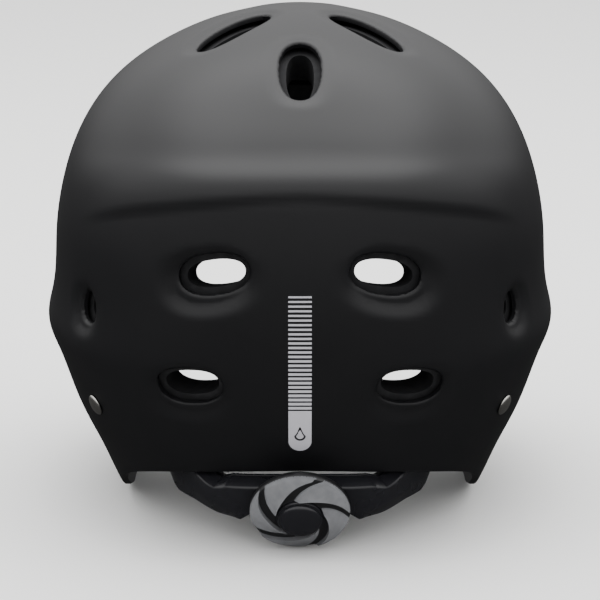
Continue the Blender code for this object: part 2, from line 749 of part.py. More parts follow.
def pivot_place(sign):
    """A temple pivot's frame: Z out of the helmet along X."""
    y, z = CRADLE_PIVOT.yz
    return (Matrix.Translation((sign * CRADLE_PIVOT.x, y, z))
            @ Matrix.Rotation(sign * math.pi / 2, 4, "Y"))


def make_pinion(place):
    teeth = 10
    outline = []
    for k in range(teeth):
        for share, radius in ((0, 2.6), (0.25, 2.6), (0.45, PINION_RADIUS), (0.8, PINION_RADIUS)):
            angle = math.tau * (k + share) / teeth
            outline.append((radius * math.cos(angle), radius * math.sin(angle)))
    make_object("pinion", extruded(outline, -12.6, -7.8), BLACK_NYLON, place)


def make_racks():
    """Two straight racks, one over and one under the pinion, each with its band."""
    pitch = math.tau * RACK_TRAVEL_RADIUS / 10
    teeth = 10
    start = -1.2
    for side, sign in both_sides():
        outline = [(start, 6.3), (start, 4.6)]
        for k in range(teeth):
            foot = start + 0.4 + k * pitch
            outline += [(foot + 0.3, 4.6), (foot + 0.8, 3.75), (foot + 1.3, 3.75), (foot + 1.8, 4.6)]
        outline += [(22.6, 4.6), (22.6, 6.3)]
        rack = extruded(outline, -TRACK_DEPTH - RACK_THICKNESS / 2, -TRACK_DEPTH + RACK_THICKNESS / 2)
        place = in_metres(dial_place())
        if side == "left":
            place = place @ Matrix.Rotation(math.pi, 4, "Z")
        make_object("rack_" + side, rack, BLACK_NYLON, place)
        band_path = [Vector((sign * p.x, p.y, p.z)) for p in track_route() if p.x > 24]
        band = make_object("band_" + side, sweep(band_path, track_outs(band_path),
                                                 rectangle(BAND_THICKNESS, BAND_WIDTH)), BLACK_NYLON)
        hole = bmesh.new()
        place = pivot_place(sign)
        bmesh.ops.create_cone(hole, cap_ends=True, segments=16, depth=12, radius1=2.6, radius2=2.6,
                              matrix=place)
        cut(band, make_cutter("pivot_hole_" + side, hole))


def make_pivots():
    """A snap pin on each temple, on which the cradle's band end turns."""
    profile = [(0, 2.9), (6, 2.9), (6, 1.8), (2.1, 1.8), (2.1, -2.0), (4.6, -2.0), (4.0, -3.2),
               (0, -3.2)]
    for side, sign in both_sides():
        make_object("temple_pivot_" + side, turned(profile, 16), BLACK_NYLON,
                    in_metres(pivot_place(sign)))


for old in list(bpy.data.objects):
    bpy.data.objects.remove(old, do_unlink=True)

vent_holes = vent_cutter()
rivet_holes = rivet_cutter()
make_shell(vent_holes, rivet_holes)
make_liner(vent_holes)
make_pads()
make_anchors()
make_side_webs(rivet_holes)
make_chin_strap()
make_cradle()
make_dial()
make_racks()
make_pivots()
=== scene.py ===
import math

import bmesh
import bpy
import numpy as np
from mathutils import Matrix, Vector
from mathutils.bvhtree import BVHTree
from mathutils.kdtree import KDTree


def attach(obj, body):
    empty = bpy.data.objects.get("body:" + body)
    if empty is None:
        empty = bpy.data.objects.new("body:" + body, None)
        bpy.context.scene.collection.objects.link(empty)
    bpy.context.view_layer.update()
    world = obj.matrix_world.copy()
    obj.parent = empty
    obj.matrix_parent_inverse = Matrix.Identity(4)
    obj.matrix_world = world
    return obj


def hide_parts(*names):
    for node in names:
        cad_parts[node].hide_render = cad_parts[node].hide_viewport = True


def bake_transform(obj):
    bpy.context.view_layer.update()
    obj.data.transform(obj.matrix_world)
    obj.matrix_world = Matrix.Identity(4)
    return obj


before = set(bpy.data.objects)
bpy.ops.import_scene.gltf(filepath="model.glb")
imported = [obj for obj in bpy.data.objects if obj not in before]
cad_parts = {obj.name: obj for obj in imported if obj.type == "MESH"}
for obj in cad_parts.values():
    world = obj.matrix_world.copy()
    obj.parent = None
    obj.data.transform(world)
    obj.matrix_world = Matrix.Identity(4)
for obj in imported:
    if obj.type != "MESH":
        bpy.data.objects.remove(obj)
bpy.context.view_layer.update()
MM = 0.001

# --- Studio -----------------------------------------------------------------------------
# The helmet stands on a plain white table top in a soft, even light. A long lens looks
# at its back from a little above, so that the shell's outline is hardly foreshortened.
CAMERA_ELEVATION = math.radians(13)
CAMERA_DISTANCE = 1.2
CAMERA_LENS = 163.5
CAMERA_TARGET = Vector((0, 0, 0.0793))


def hex_colour(code):
    """An sRGB hex code as the linear colour that shaders take."""
    channels = [int(code[i:i + 2], 16) / 255 for i in (1, 3, 5)]
    linear = [c / 12.92 if c <= 0.04045 else ((c + 0.055) / 1.055) ** 2.4 for c in channels]
    return (*linear, 1.0)


def add_node(tree, kind, settings=None, **links):
    """A node with its settings, and a socket or a value for each named or numbered input."""
    node = tree.nodes.new(kind)
    for name, value in (settings or {}).items():
        setattr(node, name, value)
    for name, value in links.items():
        key = int(name[2:]) if name.startswith("at") else name.replace("_", " ")
        socket = node.inputs[key]
        if isinstance(value, bpy.types.NodeSocket):
            tree.links.new(value, socket)
        else:
            socket.default_value = value
    return node


def new_material(name, colour, roughness, **sockets):
    """A Principled material with its fixed values on the shader's own sockets."""
    material = bpy.data.materials.new(name)
    material.use_nodes = True
    shader = material.node_tree.nodes["Principled BSDF"]
    shader.inputs["Base Color"].default_value = hex_colour(colour)
    shader.inputs["Roughness"].default_value = roughness
    for socket, value in sockets.items():
        shader.inputs[socket.replace("_", " ")].default_value = value
    return material, material.node_tree, shader


def add_bump(tree, shader, height, strength, distance, sunk=False):
    """Fine relief on a material, from a height socket; sunk where the height is large."""
    bump = add_node(tree, "ShaderNodeBump", {"invert": sunk}, Strength=strength,
                    Distance=distance, Height=height)
    tree.links.new(bump.outputs["Normal"], shader.inputs["Normal"])


def look_at(place, target):
    return (target - place).to_track_quat("-Z", "Y").to_euler()


def soft_light(name, place, target, size, power):
    lamp = bpy.data.lights.new(name, "AREA")
    lamp.shape = "RECTANGLE"
    lamp.size, lamp.size_y = size
    lamp.energy = power
    light = bpy.data.objects.new(name, lamp)
    light.location = place
    light.rotation_euler = look_at(Vector(place), Vector(target))
    bpy.context.scene.collection.objects.link(light)
    return light


TENT_LIGHT, SOFTBOX_WATTS = 1.7, 30


def build_studio():
    table_mesh = bpy.data.meshes.new("table_top")
    reach = 6.0
    table_mesh.from_pydata([(-reach, -reach, 0), (reach, -reach, 0), (reach, reach, 0),
                            (-reach, reach, 0)], [], [(0, 1, 2, 3)])
    table = bpy.data.objects.new("table_top", table_mesh)
    bpy.context.scene.collection.objects.link(table)
    paper, _, _ = new_material("white_paper_sweep", "#f8f8f7", 0.9)
    table.data.materials.append(paper)
    table.visible_glossy = False    # the shell doesn't mirror the table top
    world = bpy.data.worlds.new("white_tent")
    world.use_nodes = True
    tree = world.node_tree
    sky = add_node(tree, "ShaderNodeSeparateXYZ",
                   Vector=add_node(tree, "ShaderNodeTexCoord").outputs["Generated"])
    tent = add_node(tree, "ShaderNodeMapRange", {"interpolation_type": "SMOOTHSTEP"},
                    Value=sky.outputs["Z"], From_Min=-0.05, From_Max=0.55, To_Min=0.06,
                    To_Max=TENT_LIGHT)
    tree.links.new(tent.outputs[0], tree.nodes["Background"].inputs["Strength"])
    tree.nodes["Background"].inputs["Color"].default_value = hex_colour("#ffffff")
    bpy.context.scene.world = world
    soft_light("overhead_softbox", (0, 0.25, 1.5), (0, 0, 0.1), (1.9, 1.3), SOFTBOX_WATTS)
    camera = bpy.data.cameras.new("camera")
    camera.lens = CAMERA_LENS
    camera.sensor_width = 36
    camera_object = bpy.data.objects.new("camera", camera)
    back = Vector((0, -math.cos(CAMERA_ELEVATION), math.sin(CAMERA_ELEVATION)))
    camera_object.location = CAMERA_TARGET + back * CAMERA_DISTANCE
    camera_object.rotation_euler = look_at(camera_object.location, CAMERA_TARGET)
    bpy.context.scene.collection.objects.link(camera_object)
    bpy.context.scene.camera = camera_object


build_studio()

# --- Outer shell ------------------------------------------------------------------------
# One injection moulding of black ABS, 2.6 mm thick, with a fine matte texture from the
# mould. Its rear has a ledge where the dome folds into an upright wall, a ridge over
# the ears, and oval vents whose rims are scooped into the wall.
SHELL_CENTRE = Vector((0, -2.85, 97.0))
SHELL_WALL = 2.6
SQUARENESS = 0.3
SIDE_OUTLINE = [(0, 113), (42, 105), (62.5, 95), (81.5, 80), (95.2, 60), (102, 40),
                (105.1, 20), (106, 2), (107.8, -9), (109.2, -18), (106.5, -26),
                (103, -35), (96.8, -52), (88, -70), (81, -86), (76, -95)]
REAR_OUTLINE = [(0, 113), (49, 105.4), (75, 94.5), (95, 80), (106, 70.5), (113, 64.2),
                (118.5, 59.6), (122.3, 54), (124.6, 45), (127, 28), (128.3, 10),
                (127.8, -10), (123.5, -30), (115, -50), (105, -67), (95, -82)]
FRONT_OUTLINE = [(0, 113), (49, 105), (72, 95), (94, 80), (113, 60), (125, 40),
                 (131.5, 20), (134, 0), (132, -20), (126, -42), (117, -64), (104, -90)]
RIM_HEIGHT = [(0, 33), (30, 28), (55, 15), (76, 1), (90, 0), (104, 1), (116, 22),
              (128, 55), (142, 82), (160, 96), (180, 100)]
# azimuth, polar angle, length, width, turn, scoop depth, scoop shift (outward, up)
VENTS = {
    "rear_upper": (15.8, 80.5, 30.0, 16.5, 10.0, 2.4, (2.6, -2.6)),
    "rear_lower": (21.2, 102.0, 29.0, 16.5, 6.0, 2.2, (0.5, -2.4)),
    "ear": (46.9, 90.5, 13.0, 13.0, 0.0, 1.8, (1.8, -1.2)),
    "crown_rear": (0.0, 36.0, 17.0, 39.0, 0.0, 1.2, (0, 0)),
    "crown_diagonal": (45.5, 20.5, 17.0, 40.0, 0.0, 1.2, (0, 0)),
    "crown_front": (133.0, 24.0, 17.0, 40.0, 0.0, 1.2, (0, 0)),
    "brow": (158.0, 60.0, 34.0, 15.0, -8.0, 2.0, (0, 0)),
}
SCOOP_MARGIN = 6.5
LIP_RADIUS = 1.5
RIM_RADIUS = 1.2
REAR_RIVET = (49.0, 111.7)
FRONT_RIVET = (121.0, 108.5)
MARK_WIDTH, MARK_TOP, MARK_SOLID, MARK_FOOT = 9.2, 111.0, 62.5, 48.6
MARK_PITCH, MARK_DROP = 1.85, 51.2
CREASE_RISE, CREASE_BLEND, CREASE_DROP = 1.0, 16.0, 3.6


def smooth_curve(xs, ys):
    """A cubic spline through the points, level at its first one."""
    xs = np.asarray(xs, float)
    ys = np.asarray(ys, float)
    count = len(xs)
    step = np.diff(xs)
    system = np.zeros((count, count))
    right = np.zeros(count)
    for i in range(1, count - 1):
        system[i, i - 1:i + 2] = step[i - 1], 2 * (step[i - 1] + step[i]), step[i]
        right[i] = 6 * ((ys[i + 1] - ys[i]) / step[i] - (ys[i] - ys[i - 1]) / step[i - 1])
    system[0, 0:2] = 2 * step[0], step[0]
    right[0] = 6 * (ys[1] - ys[0]) / step[0]
    system[-1, -1] = 1
    bend = np.linalg.solve(system, right)

    def value(x):
        x = np.asarray(x, float)
        i = np.clip(np.searchsorted(xs, x) - 1, 0, count - 2)
        width = xs[i + 1] - xs[i]
        a = (xs[i + 1] - x) / width
        b = (x - xs[i]) / width
        curve = ((a ** 3 - a) * bend[i] + (b ** 3 - b) * bend[i + 1]) * width ** 2 / 6
        return a * ys[i] + b * ys[i + 1] + curve

    return value


def outline_curve(points):
    across, up = np.array(points, float).T
    return smooth_curve(np.arctan2(across, up), np.hypot(across, up))


def height_curve(points):
    azimuths, heights = np.array(points, float).T
    return smooth_curve(np.radians(azimuths), heights)


side_radius = outline_curve(SIDE_OUTLINE)
rear_radius = outline_curve(REAR_OUTLINE)
front_radius = outline_curve(FRONT_OUTLINE)
rim_curve = height_curve(RIM_HEIGHT)


def rim_height(azimuth):
    return np.maximum(rim_curve(azimuth), 0)


def ease(x):
    x = np.clip(x, 0, 1)
    return x * x * (3 - 2 * x)


def shell_radius(azimuth, polar):
    """Distance from the centre to the plain outer surface, angles in radians."""
    power = 2 + SQUARENESS * ease((polar - 0.5) / 0.9)
    forward = ease((1 - np.cos(azimuth)) / 2)
    along = rear_radius(polar) * (1 - forward) + front_radius(polar) * forward
    side = np.abs(np.sin(azimuth) / side_radius(polar)) ** power
    length = np.abs(np.cos(azimuth) / along) ** power
    return (side + length) ** (-1 / power)


def outer_point(azimuth, polar):
    radius = shell_radius(azimuth, polar)
    return np.stack([radius * np.sin(polar) * np.sin(azimuth),
                     SHELL_CENTRE.y - radius * np.sin(polar) * np.cos(azimuth),
                     SHELL_CENTRE.z + radius * np.cos(polar)], -1)


def surface_normal(azimuth, polar, delta=0.002):
    around = outer_point(azimuth + delta, polar) - outer_point(azimuth - delta, polar)
    down = outer_point(azimuth, polar + delta) - outer_point(azimuth, polar - delta)
    normal = np.cross(down, around)
    length = np.maximum(np.linalg.norm(normal, axis=-1, keepdims=True), 1e-9)
    outward = outer_point(azimuth, polar) - np.array(SHELL_CENTRE)
    return normal / length * np.sign(np.sum(normal * outward, -1, keepdims=True))


def inset_point(azimuth, polar, inset):
    """The point this far inside the plain outer surface, along its normal."""
    azimuth = np.asarray(azimuth, float)
    polar = np.maximum(np.asarray(polar, float), 1e-4)
    return outer_point(azimuth, polar) - np.asarray(inset)[..., None] * surface_normal(azimuth, polar)


def angles_of(points):
    """The azimuth and polar angle of points seen from the shell's centre."""
    x, y, z = (np.asarray(points) - np.array(SHELL_CENTRE)).T
    return np.arctan2(x, -y), np.arctan2(np.hypot(x, y), z)


def polar_at_height(azimuth, height_of):
    around = np.abs(np.asarray(azimuth, float))
    target = height_of(around)
    low = np.full(around.shape, 0.8)
    high = np.full(around.shape, 2.7)
    for _ in range(40):
        middle = (low + high) / 2
        above = SHELL_CENTRE.z + shell_radius(around, middle) * np.cos(middle) > target
        low = np.where(above, middle, low)
        high = np.where(above, high, middle)
    return low


def surface_frame(azimuth, polar):
    """A frame on the shell in millimetres: X round it, Y up it, Z out of it."""
    azimuth = math.radians(azimuth)
    polar = math.radians(polar)
    out = Vector(surface_normal(azimuth, polar))
    level = Vector((math.cos(azimuth), math.sin(azimuth), 0))
    across = (level - out * level.dot(out)).normalized()
    turn = Matrix((across, out.cross(across), out)).transposed().to_4x4()
    return Matrix.Translation(Vector(outer_point(azimuth, polar))) @ turn


def vent_places():
    """Every vent as (frame, vent); the ones off the middle come in pairs."""
    places = []
    for azimuth, polar, length, width, turn, scoop, shift in VENTS.values():
        for sign in ((1,) if azimuth == 0 else (1, -1)):
            place = surface_frame(sign * azimuth, polar)
            place = place @ Matrix.Rotation(math.radians(-sign * turn), 4, "Z")
            places.append((place, length, width, scoop, (sign * shift[0], shift[1])))
    return places


def oval_reach(u, v, length, width, power=2.3):
    """Distance outside an oval's edge, near enough for a narrow band round it."""
    a, b = length / 2, width / 2
    reach = (np.abs(u / a) ** power + np.abs(v / b) ** power) ** (1 / power)
    slope_u = np.abs(u / a) ** (power - 1) / a
    slope_v = np.abs(v / b) ** (power - 1) / b
    slope = np.hypot(slope_u, slope_v) / np.maximum(reach, 1e-6) ** (power - 1)
    return (reach - 1) / np.maximum(slope, 1e-6)


def scoop_depth(points):
    """How far each point is pressed in: by a vent's dish, and by its rounded lip."""
    dish = np.zeros(len(points))
    lip = np.zeros(len(points))
    for place, length, width, scoop, shift in vent_places():
        local = (np.array(place.inverted()) @ np.c_[points, np.ones(len(points))].T).T
        near = (np.abs(local[:, 2]) < 12) & (np.hypot(local[:, 0], local[:, 1]) < 34)
        u, v = local[near, 0], local[near, 1]
        wide = oval_reach(u - shift[0], v - shift[1], length, width)
        dish[near] = np.maximum(dish[near], scoop * (1 - ease(wide / SCOOP_MARGIN)))
        edge = np.clip(oval_reach(u, v, length, width), 0, LIP_RADIUS)
        round_off = LIP_RADIUS - np.sqrt(LIP_RADIUS ** 2 - (LIP_RADIUS - edge) ** 2)
        lip[near] = np.maximum(lip[near], round_off)
    return dish, lip


def crease_rise(azimuth, height):
    """How proud the dome stands over the fold that runs across the shell's rear."""
    turn = np.degrees(np.abs(azimuth))
    crease = 151 - 13 * (turn / 40) ** 1.6
    above = ease(1 - (height - crease) / CREASE_BLEND)
    below = 1 - ease((crease - height) / CREASE_DROP)
    fade = 1 - ease((turn - 34) / 18)
    return CREASE_RISE * fade * np.where(height > crease, above, below)


def on_shell(points, under=0.0):
    """Points moved onto the moulded surface, or onto the inner one this far under it."""
    azimuth, polar = angles_of(points)
    plain = outer_point(azimuth, polar)
    dish, lip = scoop_depth(plain)
    inset = dish - crease_rise(azimuth, plain[:, 2]) + under
    if not under:
        rim = polar_at_height(azimuth, rim_height)
        left = np.clip((rim - polar) * shell_radius(azimuth, polar), 0, RIM_RADIUS)
        nose = RIM_RADIUS - np.sqrt(RIM_RADIUS ** 2 - (RIM_RADIUS - left) ** 2)
        inset = inset + np.maximum(lip, nose)
    return inset_point(azimuth, polar, inset)


def oval_outline(length, width, count=48, power=2.3):
    points = []
    for k in range(count):
        a = math.tau * k / count
        c, s = math.cos(a), math.sin(a)
        points.append((math.copysign(abs(c) ** (2 / power), c) * length / 2,
                       math.copysign(abs(s) ** (2 / power), s) * width / 2))
    return points


def mesh_object(name, mesh_data, scale=MM):
    """A bmesh in millimetres as an object in metres at the origin."""
    bmesh.ops.scale(mesh_data, vec=(scale,) * 3, verts=mesh_data.verts)
    mesh = bpy.data.meshes.new(name)
    mesh_data.to_mesh(mesh)
    mesh_data.free()
    piece = bpy.data.objects.new(name, mesh)
    bpy.context.scene.collection.objects.link(piece)
    return piece


def vent_cutter(name, grow, low, high):
    """A prism through each vent, this much larger than its hole."""
    cutter = bmesh.new()
    for place, length, width, _, _ in vent_places():
        outline = oval_outline(length + 2 * grow, width + 2 * grow)
        rings = []
        for z in (low, high):
            rings.append([cutter.verts.new(place @ Vector((x, y, z))) for x, y in outline])
        for k in range(len(outline)):
            n = (k + 1) % len(outline)
            cutter.faces.new((rings[0][k], rings[0][n], rings[1][n], rings[1][k]))
        cutter.faces.new(list(reversed(rings[0])))
        cutter.faces.new(rings[1])
    return mesh_object(name, cutter)


def apply_modifiers(piece):
    """The object's evaluated mesh in place of its own, with no modifier left."""
    evaluated = piece.evaluated_get(bpy.context.evaluated_depsgraph_get())
    mesh = bpy.data.meshes.new_from_object(evaluated)
    piece.modifiers.clear()
    piece.data = mesh


def boolean(piece, other, operation="DIFFERENCE"):
    modifier = piece.modifiers.new("cut", "BOOLEAN")
    modifier.operation = operation
    modifier.solver = "MANIFOLD"
    modifier.object = other
    apply_modifiers(piece)


def shade(piece, angle=35):
    piece.data.shade_smooth()
    piece.data.set_sharp_from_angle(angle=math.radians(angle))


def layer_vertices(mesh_data, grid):
    """Vertices of a [column][row] grid whose first row is one point."""
    columns, rows = grid.shape[:2]
    layer = [[None] * rows for _ in range(columns)]
    pole = mesh_data.verts.new(grid[0, 0])
    for i in range(columns):
        layer[i][0] = pole
        for j in range(1, rows):
            layer[i][j] = mesh_data.verts.new(grid[i, j])
    return layer


def layer_faces(mesh_data, layer, flip):
    columns, rows = len(layer), len(layer[0])
    for i in range(columns):
        k = (i + 1) % columns
        for j in range(rows - 1):
            corners = [layer[i][j], layer[i][j + 1], layer[k][j + 1], layer[k][j]]
            corners = list(dict.fromkeys(corners))
            mesh_data.faces.new(corners[::-1] if flip else corners)


def near_a_vent(point, places):
    for place, length, width, _, _ in places:
        local = place.inverted() @ point
        if abs(local.z) < 12:
            reach = oval_reach(np.array(local.x), np.array(local.y), length, width)
            if -1.5 < reach < 3.2:
                return True
    return False


def build_shell():
    columns, outer_rows, inner_rows = 240, 156, 90
    azimuths = (np.arange(columns) + 0.5) / columns * math.tau - math.pi
    rim = polar_at_height(azimuths, rim_height)
    last = 1 - 0.012 * np.array([0.65, 0.38, 0.18, 0.0])
    outer_share = np.append(np.linspace(0, 0.988, outer_rows - 4), last)

    def grid(share, under):
        azimuth = np.repeat(azimuths[:, None], len(share), axis=1)
        polar = rim[:, None] * share[None, :]
        if not under:
            return inset_point(azimuth, polar, 0.0)
        points = outer_point(azimuth, np.maximum(polar, 1e-4)).reshape(-1, 3)
        return on_shell(points, under).reshape(columns, len(share), 3)

    shell = bmesh.new()
    layer_faces(shell, layer_vertices(shell, grid(outer_share, 0.0)), False)
    places = vent_places()
    refine = set()
    for face in shell.faces:
        if near_a_vent(face.calc_center_median(), places):
            refine.update(face.edges)
    bmesh.ops.subdivide_edges(shell, edges=list(refine), cuts=2, use_grid_fill=True)
    surface = list(shell.verts)
    points = on_shell(np.array([v.co for v in surface]))
    for vertex, point in zip(surface, points):
        vertex.co = point
    edge = [v for v in shell.verts if v.is_boundary]
    edge.sort(key=lambda v: math.atan2(v.co.x, SHELL_CENTRE.y - v.co.y))
    inner = layer_vertices(shell, grid(np.linspace(0, 1, inner_rows), SHELL_WALL))
    layer_faces(shell, inner, True)
    for i in range(columns):
        k = (i + 1) % columns
        shell.faces.new((edge[i], inner[i][-1], inner[k][-1], edge[k]))
    bmesh.ops.recalc_face_normals(shell, faces=shell.faces)
    piece = mesh_object("helmet_shell", shell)
    for holes in (vent_cutter("vent_holes", 0.0, -12, 8), rivet_cutter()):
        boolean(piece, holes)
        bpy.data.objects.remove(holes)
    shade(piece, 40)
    return piece


def rivet_cutter():
    """The four holes that the strap rivets pass through."""
    cutter = bmesh.new()
    for azimuth, polar in (REAR_RIVET, FRONT_RIVET):
        for sign in (1, -1):
            place = surface_frame(sign * azimuth, polar) @ Matrix.Translation((0, 0, -3))
            bmesh.ops.create_cone(cutter, cap_ends=True, segments=24, depth=14, radius1=2.3,
                                  radius2=2.3, matrix=place)
    return mesh_object("rivet_holes", cutter)


def fit(piece, material, body, slot, *nodes):
    """The finished piece takes its material, its body and the CAD nodes' place. The slot is not used.
    """
    piece.data.materials.clear()
    piece.data.materials.append(material)
    if nodes:
        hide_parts(*nodes)
    if body:
        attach(piece, body)
    return piece


def shell_material():
    """Matte moulded ABS: black, with a fine even grain that blurs every reflection.
    A grey mark is pad-printed down the middle of the rear: bars that close into a foot."""
    material, tree, shader = new_material("matte_moulded_abs", "#121214", 0.44,
                                          Specular_IOR_Level=0.3)
    place = add_node(tree, "ShaderNodeTexCoord").outputs["Object"]
    grain = add_node(tree, "ShaderNodeTexNoise", Vector=place, Scale=1300.0, Detail=2.0)
    cloud = add_node(tree, "ShaderNodeTexNoise", Vector=place, Scale=22.0, Detail=3.0)
    add_bump(tree, shader, grain.outputs["Fac"], 0.16, 0.0001)

    def calculate(operation, *values):
        node = tree.nodes.new("ShaderNodeMath")
        node.operation = operation
        for k, value in enumerate(values):
            if isinstance(value, bpy.types.NodeSocket):
                tree.links.new(value, node.inputs[k])
            else:
                node.inputs[k].default_value = value
        return node.outputs[0]

    axes = add_node(tree, "ShaderNodeSeparateXYZ", Vector=place)
    x, y, z = (axes.outputs[k] for k in "XYZ")
    across = calculate("ABSOLUTE", x)
    in_width = calculate("LESS_THAN", across, MARK_WIDTH / 2 * MM)
    foot_round = calculate("ADD", calculate("MULTIPLY", x, x), calculate(
        "POWER", calculate("SUBTRACT", z, MARK_FOOT * MM), 2.0))
    in_foot = calculate("LESS_THAN", foot_round, (MARK_WIDTH / 2 * MM) ** 2)
    over_foot = calculate("GREATER_THAN", z, MARK_FOOT * MM)
    under_top = calculate("LESS_THAN", z, MARK_TOP * MM)
    beat = calculate("FRACT", calculate("DIVIDE", calculate("SUBTRACT", MARK_TOP * MM, z),
                                        MARK_PITCH * MM))
    depth = calculate("SUBTRACT", MARK_TOP * MM, z)
    share = calculate("ADD", 0.40, calculate("MULTIPLY", depth, 5.0))
    bar = calculate("LESS_THAN", beat, share)
    solid = calculate("LESS_THAN", z, MARK_SOLID * MM)
    bars = calculate("MAXIMUM", bar, solid)
    column = calculate("MULTIPLY", calculate("MULTIPLY", in_width, over_foot),
                       calculate("MULTIPLY", under_top, bars))
    drop_z = calculate("SUBTRACT", z, MARK_DROP * MM)
    lift = calculate("MAXIMUM", drop_z, 0.0)
    narrow = calculate("ADD", 1.0, calculate("MULTIPLY", lift, 520.0))
    wide_x = calculate("MULTIPLY", x, narrow)
    drop = calculate("ADD", calculate("POWER", wide_x, 2.0),
                     calculate("POWER", calculate("SUBTRACT", drop_z, calculate(
                         "MULTIPLY", lift, 0.45)), 2.0))
    ring = calculate("COMPARE", calculate("SQRT", drop), 1.9 * MM, 0.42 * MM)
    printed = calculate("MAXIMUM", column, in_foot)
    printed = calculate("MULTIPLY", printed, calculate("SUBTRACT", 1.0, ring))
    printed = calculate("MULTIPLY", printed, calculate("LESS_THAN", y, 0.0))
    plastic = add_node(tree, "ShaderNodeMix", {"data_type": "RGBA"}, at0=cloud.outputs["Fac"],
                       at6=hex_colour("#111113"), at7=hex_colour("#151517"))
    ink = add_node(tree, "ShaderNodeMix", {"data_type": "RGBA"}, at0=printed,
                   at6=plastic.outputs[2], at7=hex_colour("#a4a3a9"))
    gloss = add_node(tree, "ShaderNodeMapRange", Value=cloud.outputs["Fac"], To_Min=0.41,
                     To_Max=0.47)
    tree.links.new(ink.outputs[2], shader.inputs["Base Color"])
    tree.links.new(gloss.outputs[0], shader.inputs["Roughness"])
    return material


fit(build_shell(), shell_material(), "helmet", "shell_plastic", "outer_shell")

# --- Foam liner -------------------------------------------------------------------------
# The impact liner is five panels of moulded closed-cell foam, 11 mm thick, bonded inside
# the shell: a crown disc and four side panels that meet in fine seams. The vents go on
# through it as smaller ovals.
LINER_DEPTH, LINER_WALL = 5.8, 11.0
CROWN_EDGE = 50.0
LINER_EDGE = [(0, 43), (24, 43), (38, 52), (47, 66), (58, 69), (90, 67), (110, 70),
              (128, 80), (142, 92), (160, 105), (180, 108)]
LINER_PANELS = {"liner_rear": (-60, 60, 110), "liner_right": (60, 130, 64),
                "liner_front": (130, 230, 92), "liner_left": (-130, -60, 64)}
liner_edge = height_curve(LINER_EDGE)


def closed_slab(outer, inner, wrap):
    """A closed body between two [column][row] grids; a wrapped one starts at a pole."""
    body = bmesh.new()
    columns, rows = outer.shape[:2]
    layers = []
    for grid in (outer, inner):
        if wrap:
            layers.append(layer_vertices(body, grid))
        else:
            layers.append([[body.verts.new(p) for p in column] for column in grid])
    top, bottom = layers
    for i in range(columns if wrap else columns - 1):
        k = (i + 1) % columns
        for j in range(rows - 1):
            for layer in layers:
                corners = (layer[i][j], layer[i][j + 1], layer[k][j + 1], layer[k][j])
                body.faces.new(list(dict.fromkeys(corners)))
        body.faces.new((top[i][-1], top[k][-1], bottom[k][-1], bottom[i][-1]))
        if not wrap:
            body.faces.new((top[i][0], bottom[i][0], bottom[k][0], top[k][0]))
    if not wrap:
        for i in (0, columns - 1):
            for j in range(rows - 1):
                body.faces.new((top[i][j], top[i][j + 1], bottom[i][j + 1], bottom[i][j]))
    bmesh.ops.recalc_face_normals(body, faces=body.faces)
    return body


def curved_slab(azimuths, top, bottom, rows, depth, wall, round_edge=0.0):
    """A slab that follows the shell between two polar angles, its edges eased off."""
    wrap = bool(np.all(np.asarray(top) == 0))
    share = np.linspace(0, 1, rows)
    azimuth = np.repeat(azimuths[:, None], rows, axis=1)
    top = np.broadcast_to(top, azimuths.shape)[:, None]
    bottom = np.broadcast_to(bottom, azimuths.shape)[:, None]
    polar = top * (1 - share) + bottom * share
    reach = 100 * np.abs(bottom - polar)
    if not wrap:
        reach = np.minimum(reach, 100 * np.abs(polar - top))
        across = 100 * np.sin(polar) * np.minimum(np.abs(azimuth - azimuths[0]),
                                                  np.abs(azimuths[-1] - azimuth))
        reach = np.minimum(reach, across)
    ease_off = 0.0
    if round_edge:
        left = np.clip(reach, 0, round_edge)
        ease_off = round_edge - np.sqrt(round_edge ** 2 - (round_edge - left) ** 2)
    return closed_slab(inset_point(azimuth, polar, depth + ease_off * 0.9),
                       inset_point(azimuth, polar, depth + wall - ease_off), wrap)


def foam_material():
    """Moulded closed-cell foam: black, dull, with the pebbled skin of 3 mm fused beads, painted
    darker into the gaps between them as painted shade.
    """
    material, tree, shader = new_material("moulded_bead_foam", "#141416", 0.85,
                                          Specular_IOR_Level=0.3)
    place = add_node(tree, "ShaderNodeTexCoord").outputs["Object"]
    beads = add_node(tree, "ShaderNodeTexVoronoi", {"feature": "SMOOTH_F1"}, Vector=place,
                     Scale=330.0)
    pores = add_node(tree, "ShaderNodeTexNoise", Vector=place, Scale=1500.0, Detail=3.0)
    skin = add_node(tree, "ShaderNodeMath", {"operation": "MULTIPLY_ADD"},
                    at0=pores.outputs["Fac"], at1=0.25, at2=beads.outputs["Distance"])
    add_bump(tree, shader, skin.outputs[0], 0.5, 0.0004, True)
    # Painted shade: each bead's colour darkens from its middle into the sunk gaps between beads.
    bead_gap_shade = add_node(tree, "ShaderNodeValToRGB", Fac=beads.outputs["Distance"])
    bead_gap_shade.color_ramp.elements[0].color = hex_colour("#1d1d1f")
    bead_gap_shade.color_ramp.elements[1].color = hex_colour("#0e0e10")
    tree.links.new(bead_gap_shade.outputs["Color"], shader.inputs["Base Color"])
    return material


bead_foam = foam_material()
liner_holes = vent_cutter("liner_holes", -2.8, -24, 8)
crown_azimuths = np.arange(144) / 144 * math.tau - math.pi
crown_liner = mesh_object("crown_liner", curved_slab(
    crown_azimuths, 0.0, math.radians(CROWN_EDGE), 40, LINER_DEPTH, LINER_WALL, 1.4))
boolean(crown_liner, liner_holes)
shade(crown_liner)
fit(crown_liner, bead_foam, "helmet", "liner_foam", "liner_crown")
for node, (low, high, columns) in LINER_PANELS.items():
    azimuths = np.radians(np.linspace(low + 0.25, high - 0.25, columns))
    around = np.where(azimuths > math.pi, azimuths - math.tau, azimuths)
    panel = mesh_object(node + "_panel", curved_slab(
        azimuths, math.radians(CROWN_EDGE + 0.25), polar_at_height(around, liner_edge), 56,
        LINER_DEPTH, LINER_WALL, 1.4))
    boolean(panel, liner_holes)
    shade(panel)
    fit(panel, bead_foam, "helmet", "liner_foam", node)
